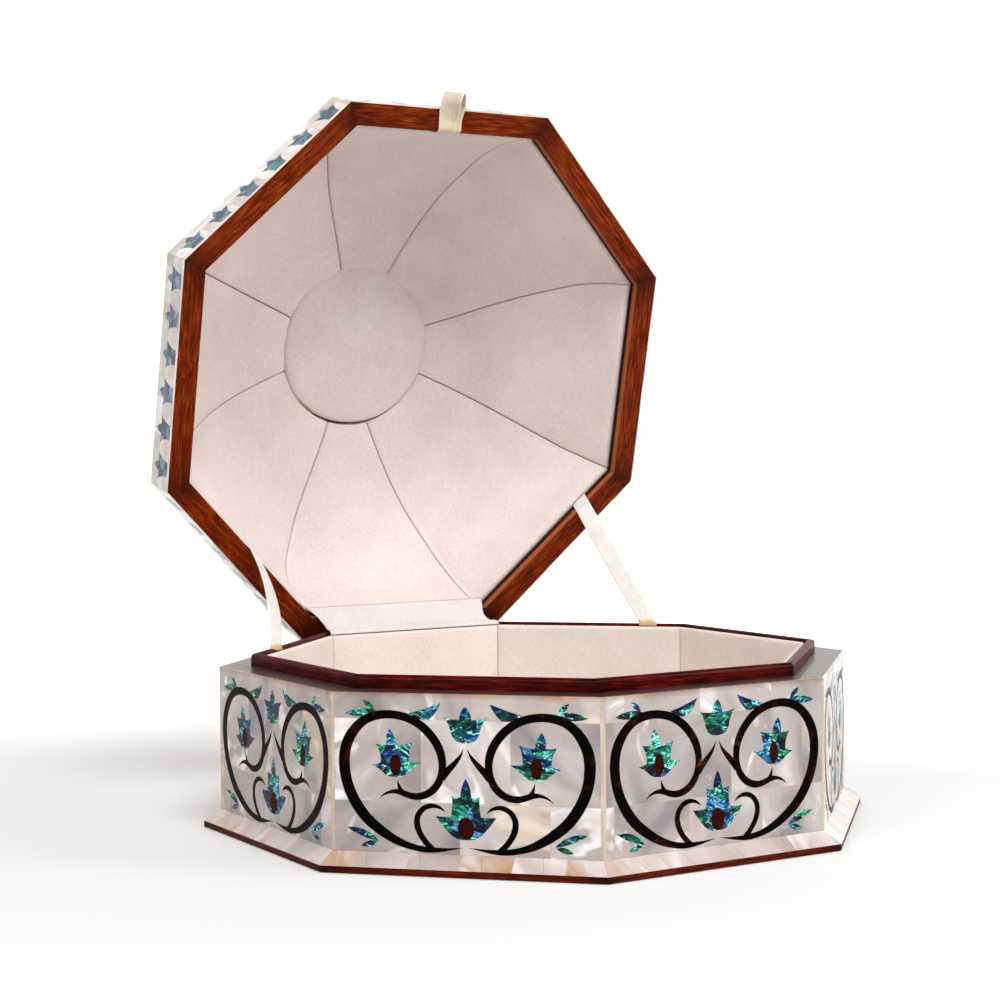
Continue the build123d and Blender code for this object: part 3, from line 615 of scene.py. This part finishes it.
lipWood = {
    **rimWood,
    "wall": None,
    "tones": [
        (0.30, (0.006, 0.0004, 0.0002)),
        (0.46, (0.045, 0.0012, 0.0003)),
        (0.58, (0.11, 0.004, 0.0006)),
        (0.75, (0.28, 0.025, 0.003)),
    ],
    "poreAndShade": (0.005, 0.0005, 0.0002),
    "rough": 0.3,
    "gloss": 0.02,
    "polish": 0.06,
    "polishRough": 0.05,
    "relief": 0.05 * mm,
}
ledgeLacquer = {
    **lipWood,
    "tones": [(0.3, (0.02, 0.009, 0.009)), (0.5, (0.045, 0.02, 0.02)), (0.7, (0.08, 0.035, 0.03))],
    "gloss": 0.15,
    "polish": 0.2,
    "corner": 0.2,
    "knots": 0.3,
}
baseWood = {
    **lipWood,
    "tones": [(0.3, (0.02, 0.001, 0.0005)), (0.5, (0.07, 0.006, 0.001)), (0.7, (0.16, 0.02, 0.003))],
}
plainWood = {
    **rimWood,
    "wall": None,
    "tones": [(0.3, (0.20, 0.11, 0.05)), (0.5, (0.34, 0.20, 0.10)), (0.7, (0.46, 0.30, 0.17))],
    "polish": 0.0,
    "corner": 0.1,
}
lidCloth = {
    "thread": 0.62 * mm,
    "sheen": 0.25,
    "sheenTint": (1.0, 0.93, 0.90),
    "tones": [(0.30, (0.50, 0.415, 0.38)), (0.5, (0.655, 0.57, 0.535)), (0.7, (0.755, 0.69, 0.66))],
    "glueRing": 47.3 * mm,
    "ringShift": -3.0 * mm,
    "glue": (0.42, 0.22, 0.03),
    "shadeLine": None,  # where a painted shadow line starts, along the cloth
    "shadeLineColour": (0.20, 0.09, 0.05),
    "fleck": (0.76, 0.70, 0.66),
    "relief": 0.5,
}
baseCloth = {
    **lidCloth,
    "glueRing": None,
    "tones": [(0.30, (0.58, 0.49, 0.43)), (0.5, (0.70, 0.62, 0.56)), (0.7, (0.79, 0.72, 0.67))],
}
hingeCloth = {
    **lidCloth,
    "glueRing": None,
    # painted shadow line at the strip's end against the lid lining
    "shadeLine": 28.9 * mm,
    "tones": [(0.30, (0.50, 0.45, 0.45)), (0.5, (0.62, 0.575, 0.58)), (0.7, (0.70, 0.66, 0.665))],
}
staySatin = {
    "half": 5.0 * mm,
    "tones": [(0.35, (0.60, 0.58, 0.53)), (0.65, (0.76, 0.75, 0.70))],
    "selvedge": (0.80, 0.79, 0.74),
    "stainLong": 7 * mm,
    "stain": 0.8,
    "glue": (0.55, 0.30, 0.06),
    "rough": 0.35,
}
tabSatin = {
    **staySatin,
    "half": 5.4 * mm,
    "tones": [(0.35, (0.46, 0.37, 0.26)), (0.65, (0.66, 0.57, 0.45))],
    "selvedge": (0.72, 0.63, 0.52),
    "stain": 0.25,
}
brass = {"dull": (0.32, 0.21, 0.07), "bright": (0.72, 0.52, 0.20)}

finishes = {
    "side_shell": shellFinish("sideShell", False, sideShell),
    "plinth_shell": shellFinish("plinthShell", False, plinthShell),
    "band_shell": shellFinish("bandShell", True, bandShell),
    "dome_shell": shellFinish("domeShell", True, domeShell),
    "corner_bone": shellFinish("cornerBone", False, boneShell),
    "abalone": abaloneFinish("abalone", False, abalone),
    "band_abalone": abaloneFinish("bandAbalone", True, bandAbalone),
    "tortoiseshell": tortoiseshellFinish("tortoiseshell", tortoiseshell),
    "rim_wood": woodFinish("rimWood", True, rimWood),
    "lid_wood": woodFinish("lidWood", True, plainWood),
    "wall_wood": woodFinish("wallWood", False, plainWood),
    "lip_wood": woodFinish("lipWood", False, lipWood),
    "ledge_lacquer": woodFinish("ledgeLacquer", False, ledgeLacquer),
    "base_wood": woodFinish("baseWood", False, baseWood),
    "lid_cloth": clothFinish("lidCloth", lidCloth),
    "base_cloth": clothFinish("baseCloth", baseCloth),
    "hinge_cloth": clothFinish("hingeCloth", hingeCloth),
    "stay_satin": satinFinish("staySatin", staySatin),
    "tab_satin": satinFinish("tabSatin", tabSatin),
    "hinge_brass": brassFinish("hingeBrass", brass),
    "screw_brass": brassFinish("screwBrass", brass),
}
for part in frame["record"]["subparts"]:
    for slot in nodes[part["node"]].material_slots:
        slot.material = finishes[part["material_slot"]]
print("materials made,", len(finishes))


def settle(piece, slotName, stands, body=None):
    # gives a new piece its material, hides the CAD node it stands for and attaches it to the body it rides on
    piece.data.materials.clear()
    piece.data.materials.append(finishes[slotName])
    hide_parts(stands)
    if body:
        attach(piece, body)


# padded gores of the dome
gore = {
    # out from the middle and depth into the dome, mm
    "profile": [
        (136.0, 8.6),
        (130.3, 28),
        (122.9, 42),
        (110.9, 55),
        (96.1, 68),
        (81.3, 76),
        (64.7, 82),
        (43.2, 88.6),
    ],
    "fill": 0.35,
    "puff": 3.0,  # how far the wadding stands proud of the seams, mm
    "back": 1.4,
    "edgeRoll": 0.32,
    "seamGap": 0.2,
    "across": 80,
    "along": 100,
    # how far each seam was sewn off its corner, in degrees; the first is right of front
    "rimSkew": [-1.5, 0.3, -0.4, 0.8, 2.5, 3.0, 0.2, -0.5],
    "buttonSkew": [-3.0, 4.0, -5.5, 6.4, -6.0, 6.3, 0.5, 6.5],
    # the gore behind the hinge cloth is tucked in, over its first few rows
    "tuckedSide": 4,
    "tuck": 2.6,
    "tuckRows": 7,
}
halfGore = 22.5  # degrees


def makeGore(side):
    # profile swept round the dome's axis between two seams; the front is a superellipse of the width,
    # nearly flat and rolled over into the seams, with long low waves and a few puckers at the button
    rows, columns = gore["along"], gore["across"]
    route = smoothRoute(gore["profile"], rows)
    if side == gore["tuckedSide"]:
        route[:, 0] -= gore["tuck"] * np.clip(1 - np.arange(rows) / gore["tuckRows"], 0, 1) ** 2
    tangent = np.gradient(route, axis=0)
    tangent /= np.linalg.norm(tangent, axis=1)[:, None]
    inward = np.stack([-tangent[:, 1], tangent[:, 0]], 1)  # towards the middle of the dome
    v = np.linspace(0, 1, rows)[:, None]
    nearButton = np.clip((v - 0.25) / 0.75, 0, 1) ** 1.3
    seams = [(side - 1) % 8, side]
    atRim, atButton = np.array(gore["rimSkew"])[seams], np.array(gore["buttonSkew"])[seams]
    skew = (atRim + (atButton - atRim) * nearButton).T[..., None]
    angle = np.linspace(0, 2 * np.pi, columns, endpoint=False)
    u, up = rounded(angle, gore["edgeRoll"])
    u, up = u[None, :], up[None, :]
    turn = np.where(u < 0, u * (halfGore - skew[0]), u * (halfGore + skew[1]))
    endRoll = (1 - np.abs(2 * v - 1) ** 30) ** (1 / 4)
    phase = side * 2.4
    longWaves = 0.30 * np.sin(u * 2.1 + v * 5 + phase) * np.sin(v * 7.3 + phase * 1.7)
    shortWaves = 0.12 * np.sin(u * 6 + phase) * np.sin(v * 13 - phase)
    pulls = 0.35 * np.sin(u * 13 + phase) * np.clip((v - 0.80) / 0.2, 0, 1) ** 2
    height = np.where(up > 0, up * gore["puff"], up * gore["back"]) * endRoll
    slack = (longWaves + shortWaves + pulls) * (1 - np.abs(u) ** 6) * endRoll
    height = height - gore["puff"] * 0.5 + np.where(up > 0, 1, 0) * slack
    out = route[:, :1] + inward[:, :1] * height
    deep = route[:, 1:] + inward[:, 1:] * height
    folded = np.abs(turn)
    folded = np.radians(np.where(folded > halfGore, 2 * halfGore - folded, folded))
    roundness = np.clip((v - 0.35) / 0.6, 0, 1)  # eight-sided at the rim, round at the button
    reach = out * ((1 - roundness) / np.cos(folded) + roundness * 1.035)
    gap = np.degrees(gore["seamGap"] / reach)
    turn = np.radians(turn - np.sign(u) * gap)
    points = np.stack([reach * np.sin(turn), -reach * np.cos(turn), deep + 0 * turn], -1) * mm
    length = np.repeat(runLength(route)[:, None], columns, 1)
    uv = np.stack([reach * np.sin(turn) + side * 200, length], -1) * mm
    piece = gridMesh(f"gore_{side}", lidPoint(sidePoint(points, side)), uv, closeU=True)
    weld(piece)
    settle(piece, "lid_cloth", "lid_gores", "lid")


for side in range(8):
    makeGore(side)
print("gores made")

# round button in the middle of the dome, mm
button = {
    "radius": 47.3,
    "face": 84.6,
    "back": 95.5,
    "waist": 42.0,
    "shift": -3.0,
    "round": 128,
    "rings": 80,
    "fill": 0.7,
}


def makeButton():
    # a profile turned about the dome's axis: crowned face, rolled rim, and a side tucked in under it so that
    # the gores run in behind; the outline was cut by hand, so it isn't quite round
    r0, waist, face, behind = button["radius"], button["waist"], button["face"], button["back"]
    profile = smoothRoute(
        [
            (0, face),
            (12, face + 0.05),
            (26, face + 0.2),
            (38, face + 0.55),
            (44, face + 1.0),
            (46.5, face + 1.8),
            (r0, face + 3.0),
            (46.4, face + 4.3),
            (44.3, face + 5.3),
            (waist, face + 6.6),
            (waist - 1, behind - 1.5),
            (waist - 3, behind),
            (20, behind),
            (0, behind),
        ],
        button["rings"],
    )
    profile[0, 0] = profile[-1, 0] = 0
    t = np.linspace(0, 2 * np.pi, button["round"], endpoint=False)[None, :]
    r, z = profile[:, :1], profile[:, 1:]
    edge = 1 + (0.008 * np.sin(3 * t + 0.6) + 0.005 * np.sin(5 * t + 2)) * (r / r0) ** 2
    front = np.clip((face + 2 - z) / 2, 0, 1)
    share = r / r0
    lumps = 0.22 * np.sin(share * 5 + t * 2) * share
    pleats = 0.12 * np.sin(17 * t) * np.clip(share, 0, 1) ** 14
    z = z + front * (lumps + pleats)
    x = r * edge * np.cos(t)
    y = r * edge * np.sin(t) + button["shift"]
    points = np.stack([x, y, z + 0 * x], -1) * mm
    piece = gridMesh("buttonPad", lidPoint(points), np.stack([x, y], -1) * mm, closeU=True)
    weld(piece)
    settle(piece, "lid_cloth", "lid_button_pad", "lid")


makeButton()

# cloth covered wall panels, mm
panel = {
    "inner": 127.9,
    "outer": 130.8,
    "bottom": 8.1,
    "top": 84.8,
    "roll": 0.22,
    "across": 88,
    "up": 60,
    "gap": 0.1,
    "crown": 0.3,
    "fill": 0.2,
}


def makePanel(side):
    # a board wrapped in cloth: superellipse across the thickness, its inner face a little crowned
    angle = np.linspace(0, 2 * np.pi, panel["across"], endpoint=False)
    across, rise = rounded(angle, panel["roll"])
    end = np.linspace(-1, 1, panel["up"])
    place = np.sign(end) * np.abs(end) ** 0.7
    roll = (1 - np.abs(place) ** 40) ** (1 / 4)
    u, v = np.meshgrid(across, place)
    thick = (panel["outer"] - panel["inner"]) / 2
    middle = (panel["outer"] + panel["inner"]) / 2
    phase = side * 1.9
    waves = 0.16 * np.sin(u * 3 + phase) * np.sin(v * 4 + phase)
    inside = np.where(rise > 0, 1, 0)[None, :]
    crown = inside * (panel["crown"] * (1 - u**2) + waves) * (1 - v**6)
    out = middle - rise[None, :] * thick * roll[:, None] - crown
    half = out * halfSlope - panel["gap"]
    z = (panel["bottom"] + panel["top"]) / 2 + v * (panel["top"] - panel["bottom"]) / 2
    points = np.stack([u * half, -out, z], -1) * mm
    uv = np.stack([u * half + side * 150, z], -1) * mm
    piece = gridMesh(f"wallPanel_{side}", sidePoint(points, side), uv, closeU=True)
    weld(piece)
    settle(piece, "base_cloth", "wall_lining", "base")


for side in range(8):
    makePanel(side)

# floor pad, mm
floorPad = {
    "apothem": 127.6,
    "bottom": 3.2,
    "top": 8.0,
    "crown": 2.2,
    "roll": 0.2,
    "round": 160,
    "rings": 64,
    "fill": 0.5,
}


def makeFloorPad():
    # an eight-sided pad: superellipse thickness over an octagon's radius, crowned towards the middle
    angle = np.linspace(-np.pi / 2, np.pi / 2, floorPad["rings"])
    reach, rise = rounded(angle, floorPad["roll"])
    reach[0] = reach[-1] = 0.0
    turn = np.linspace(0, 2 * np.pi, floorPad["round"], endpoint=False)
    r, t = np.meshgrid(reach, turn, indexing="ij")
    off = (t + math.pi / 8) % turnEighth - math.pi / 8
    radius = floorPad["apothem"] / np.cos(off)
    h = np.repeat(rise[:, None], floorPad["round"], 1)
    half = (floorPad["top"] - floorPad["bottom"]) / 2
    z = (floorPad["top"] + floorPad["bottom"]) / 2 + h * half
    z += np.where(h > 0, 1, 0) * floorPad["crown"] * (1 - r**4) * (0.8 + 0.2 * np.sin(3 * t) * r)
    points = np.stack([r * radius * np.cos(t), r * radius * np.sin(t), z], -1) * mm
    piece = gridMesh("floorPad", points, points[..., :2], closeU=True)
    weld(piece)
    settle(piece, "base_cloth", "floor_pad", "base")


makeFloorPad()
print("button and base lining made")


def stripSurface(name, middle, across, half, count):
    # a flat strip: each point of the middle line carried across by its own width direction
    middle, across = np.asarray(middle, float), np.asarray(across, float)
    knots = runLength(middle)
    at = np.linspace(0, knots[-1], count)
    across = np.stack([np.interp(at, knots, across[:, i]) for i in range(3)], 1)
    middle = smoothRoute(middle, count)
    across /= np.linalg.norm(across, axis=1)[:, None]
    u = np.linspace(-1, 1, 9) * half
    points = middle[:, None] + across[:, None] * u[None, :, None]
    length = runLength(middle)
    uv = np.stack(np.meshgrid(u, length), -1)
    return gridMesh(name, points * mm, uv * mm), float(length[-1])


def thicken(piece, thickness):
    wall = piece.modifiers.new("thickness", "SOLIDIFY")
    wall.thickness, wall.offset = thickness, 0


def inBase(side, along, out, height):
    return sidePoint([along, -out, height], side)


def inLid(side, along, out, depth):
    return lidPoint(sidePoint(np.array([along, -out, depth]) * mm, side)) / mm


def between(first, last, shares):
    return [first * (1 - share) + last * share for share in shares]


def lidAlong(side):
    return lidPoint(sidePoint([1, 0, 0], side)) - lidOrigin


# the two ribbon stays, from between lip and lining to between rim and lining
stay = {"half": 5.0, "thick": 0.25 * mm, "rows": 140}


def makeStay(name, node, middle, across):
    piece, long = stripSurface(name, middle, across, stay["half"], stay["rows"])
    thicken(piece, stay["thick"])
    settle(piece, "stay_satin", node)
    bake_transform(piece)


# the back right one hangs straight
rightStay = {"side": 3, "shares": (0.05, 0.3, 0.6, 0.9, 0.97)}


def makeRightStay():
    side, shares = rightStay["side"], rightStay["shares"]
    foot, lip = inBase(side, -34.3, 131.0, 85.0), inBase(side, -34.1, 131.5, 87.0)
    rim, tuck = inLid(side, -27.9, 136.1, -0.5), inLid(side, -31.2, 136.3, 8.3)
    fromBase, fromLid = -sidePoint([1, 0, 0], side), -lidAlong(side)
    middle = [foot, lip, *between(lip, rim, shares), rim, inLid(side, -28.4, 136.25, 1.0), tuck]
    across = [fromBase] * 2 + between(fromBase, fromLid, shares) + [fromLid] * 3
    makeStay("stayRibbonRight", "stay_ribbon_right", middle, across)


makeRightStay()

# the back left one is twisted, so that its upper end is seen almost edge on, and it hangs a little slack
leftStay = {
    "side": 5,
    "shares": (0.05, 0.2, 0.4, 0.6, 0.8, 0.95),
    "slack": (3.12, -1.36, 0.8),  # at the middle, mm
    "footAcross": (0.86, 0.50, 0.0),
    "twist": (0.25, 0.55, 0.85),  # how far the width has turned to the lid's own direction
}


def makeLeftStay():
    side, shares = leftStay["side"], np.array(leftStay["shares"])
    foot, lip = inBase(side, 30.0, 131.1, 85.0), inBase(side, 29.6, 131.7, 87.2)
    rim, tuck = inLid(side, -1.0, 136.1, -0.5), inLid(side, 0.5, 136.3, 8.3)
    fromBase, fromLid = np.array(leftStay["footAcross"]), -lidAlong(side)
    hang = (4 * shares * (1 - shares))[:, None] * np.array(leftStay["slack"])
    free = np.array(between(lip, rim, shares)) + hang
    middle = [foot, lip, *free, rim, inLid(side, -0.8, 136.25, 1.0), tuck]
    across = [fromBase] * 3 + between(fromBase, fromLid, leftStay["twist"]) + [fromLid] * 5
    makeStay("stayRibbonLeft", "stay_ribbon_left", middle, across)


makeLeftStay()

# the cloth strip that closes the gap along the back, mm
hingeStrip = {
    "route": [
        (128.6, 85.2),
        (129.4, 86.6),
        (131.6, 87.3),
        (136.0, 87.4),
        (142.0, 90.2),
        (148.5, 95.3),
        (154.0, 98.4),
    ],
    "baseHalf": 54.2,
    "lidHalf": 57.0,
    "waist": 3.2,
    "thick": 0.5 * mm,
    "rows": 60,
    "across": 90,
    "free": (0.35, 0.85),  # a span of its rows, as shares
}


def makeHingeCloth():
    # the route from the back lining over the lip into the lid, carried sideways; its free edges curve inwards
    count, wide = hingeStrip["rows"], hingeStrip["across"]
    route = smoothRoute(hingeStrip["route"], count)
    v = np.linspace(0, 1, count)
    bow = np.sin(np.pi * v)  # nothing at the two glued ends
    half = hingeStrip["baseHalf"] + (hingeStrip["lidHalf"] - hingeStrip["baseHalf"]) * v
    half = half - hingeStrip["waist"] * bow**1.5
    u = np.linspace(-1, 1, wide)
    sag = (0.35 * np.sin(u * 4 + 1) + 0.2 * np.sin(u * 11))[None, :] * bow[:, None]
    x = u[None, :] * half[:, None]
    y = np.repeat(route[:, :1], wide, 1) - sag * 0.5
    z = np.repeat(route[:, 1:], wide, 1) + sag
    length = runLength(route)
    uv = np.stack([x + 400, np.repeat(length[:, None], wide, 1)], -1) * mm
    piece = gridMesh("hingeClothStrip", np.stack([x, y, z], -1) * mm, uv)
    thicken(piece, hingeStrip["thick"])
    settle(piece, "hinge_cloth", "hinge_cloth")
    first, last = (int(count * share) for share in hingeStrip["free"])
    route[first, 0] * mm
    route[first, 1] * mm
    route[last, 0] * mm
    route[last, 1] * mm
    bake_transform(piece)


makeHingeCloth()

# the pull tab
tab = {
    "half": 5.6,
    "thick": 0.3 * mm,
    "rows": 130,
    # along the rim, out from the middle and depth into the dome, mm, and the ribbon's turn there, degrees
    "route": [
        (-2.6, 136.30, 8.3, 0),
        (-2.6, 136.20, 1.0, 0),
        (-2.6, 137.2, -1.0, 0),
        (-2.7, 143, -1.6, 4),
        (-3.2, 149, -3.0, 22),
        (-3.4, 153.5, -4.4, 42),
        (-2.4, 157, -4.2, 50),
        (-0.8, 158.3, -2.6, 50),
        (0.9, 157, -1.0, 48),
        (1.6, 153, -0.6, 38),
        (1.2, 149.6, -0.9, 8),
        (0.5, 143, -0.6, 0),
        (0.4, 137.2, -0.45, 0),
        (0.4, 136.32, 1.0, 0),
        (0.4, 136.34, 8.2, 0),
    ],
    "anchor": [0, -0.150, -0.0004],  # metres, in the lid
    "keep": 0.06,
}


def makeTab():
    # a loop of ribbon: out over the rim, twisted round, and back under itself to where it started
    middle = np.array([inLid(0, *place) for *place, turn in tab["route"]])
    axis = lidAxis / np.linalg.norm(lidAxis)
    turns = np.radians([turn for *place, turn in tab["route"]])[:, None]
    across = np.cos(turns) * np.array([[1.0, 0, 0]]) - np.sin(turns) * axis[None, :]
    piece, long = stripSurface("pullTab", middle, across, tab["half"], tab["rows"])
    thicken(piece, tab["thick"])
    settle(piece, "tab_satin", "pull_tab", "lid")
    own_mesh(piece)


makeTab()
print("ribbons, hinge cloth and tab made")

camera = bpy.data.objects.new("camera", bpy.data.cameras.new("camera"))
bpy.context.scene.collection.objects.link(camera)
camera.data.lens, camera.data.sensor_width = 74.53, 36
cameraPlace = {"pos": (-0.5658, -0.8944, 0.1950), "azimuth": -31.28, "elevation": 1.82, "roll": -0.54}
azimuth, elevation, roll = (math.radians(cameraPlace[key]) for key in ("azimuth", "elevation", "roll"))
flat = math.cos(elevation)
back = Vector((math.sin(azimuth) * flat, -math.cos(azimuth) * flat, math.sin(elevation)))
level = Vector((math.cos(azimuth), math.sin(azimuth), 0))
up = back.cross(level)
rightRolled = level * math.cos(roll) + up * math.sin(roll)
upRolled = up * math.cos(roll) - level * math.sin(roll)
turned = Matrix((rightRolled, upRolled, back)).transposed().to_4x4()
camera.matrix_world = Matrix.Translation(cameraPlace["pos"]) @ turned
camera.data.clip_start, camera.data.clip_end = 0.05, 20
bpy.context.scene.camera = camera

studio = {
    "floorTone": 0.62,
    "floorGlow": 0.14,
    "floorHalf": 5,
    "floorLevel": -0.0003,
    "wallTone": 0.5,
    "wallGlow": 1.0,
    "wallBack": 2.6,
    "wallHalf": 4,
    "wallLow": -0.5,
    "wallHigh": 3,
    "worldTone": 0.28,
    "worldTint": (1.0, 0.90, 0.83, 1),
}
awayFlat = Vector((-back.x, -back.y, 0)).normalized()


def sheetOfPaper(name, corners, tone, glowNear, glowFar):
    # one big plain quad, the table or the lit paper behind; the table's own light grows towards the back
    mesh = bpy.data.meshes.new(name)
    mesh.from_pydata(corners, [], [(0, 1, 2, 3)])
    paper = bpy.data.objects.new(name, mesh)
    bpy.context.scene.collection.objects.link(paper)
    finish = Finish(name, Roughness=0.9, Specular_IOR_Level=0.1, Emission_Strength=1.0)
    finish.shader.inputs["Base Color"].default_value = (tone, tone, tone, 1)
    if glowNear == glowFar:
        finish.shader.inputs["Emission Color"].default_value = (glowFar, glowFar, glowFar, 1)
    else:
        sockets = {0: finish.place(), 1: tuple(awayFlat)}
        behind = finish.node("VectorMath", {"operation": "DOT_PRODUCT"}, sockets, output=1)
        glow = finish.level(behind, 0.1, 0.9) * (glowFar - glowNear) + glowNear
        finish.feed(Emission_Color=finish.join(glow, glow, glow))
    mesh.materials.append(finish.material)


half, low = studio["floorHalf"], studio["floorLevel"]
tableCorners = [(-half, -half, low), (half, -half, low), (half, half, low), (-half, half, low)]
sheetOfPaper("floor", tableCorners, studio["floorTone"], studio["floorGlow"], studio["wallGlow"])

# the lit paper stands behind the box as the camera sees it
sideways, away = rightRolled * studio["wallHalf"], awayFlat * studio["wallBack"]
foot, head = Vector((0, 0, studio["wallLow"])), Vector((0, 0, studio["wallHigh"]))
paperCorners = [
    tuple(away - sideways + foot),
    tuple(away + sideways + foot),
    tuple(away + sideways + head),
    tuple(away - sideways + head),
]
sheetOfPaper("backPaper", paperCorners, studio["wallTone"], studio["wallGlow"], studio["wallGlow"])

world = bpy.data.worlds.new("studio")
world.use_nodes = True
background = world.node_tree.nodes["Background"]
background.inputs[0].default_value = studio["worldTint"]
background.inputs[1].default_value = studio["worldTone"]
bpy.context.scene.world = world
bpy.context.scene.view_settings.view_transform = "Standard"
bpy.context.scene.view_settings.look = "None"


def softLight(name, place, aim, size, power, tint):
    lamp = bpy.data.objects.new(name, bpy.data.lights.new(name, "AREA"))
    lamp.data.shape, lamp.data.size, lamp.data.size_y = "RECTANGLE", size[0], size[1]
    lamp.data.energy, lamp.data.color = power, tint
    lamp.location = place
    lamp.rotation_mode = "QUATERNION"
    lamp.rotation_quaternion = (Vector(aim) - Vector(place)).to_track_quat("-Z", "Y")
    bpy.context.scene.collection.objects.link(lamp)


lights = {
    "leftBox": {
        "place": (-1.6, -0.9, 1.0),
        "aim": (0, 0, 0.12),
        "size": (0.8, 1.0),
        "power": 14,
        "tint": (0.99, 0.98, 0.98),
    },
    "rightBox": {
        "place": (1.5, -1.5, 1.0),
        "aim": (0, 0, 0.12),
        "size": (0.7, 1.0),
        "power": 25,
        "tint": (0.99, 0.98, 0.98),
    },
    "topBox": {
        "place": (-0.3, -1.2, 2.0),
        "aim": (0, 0.1, 0.1),
        "size": (1.1, 1.1),
        "power": 41,
        "tint": (0.97, 0.98, 1.0),
    },
}
for name, light in lights.items():
    softLight(name, **light)

print("scene ready")
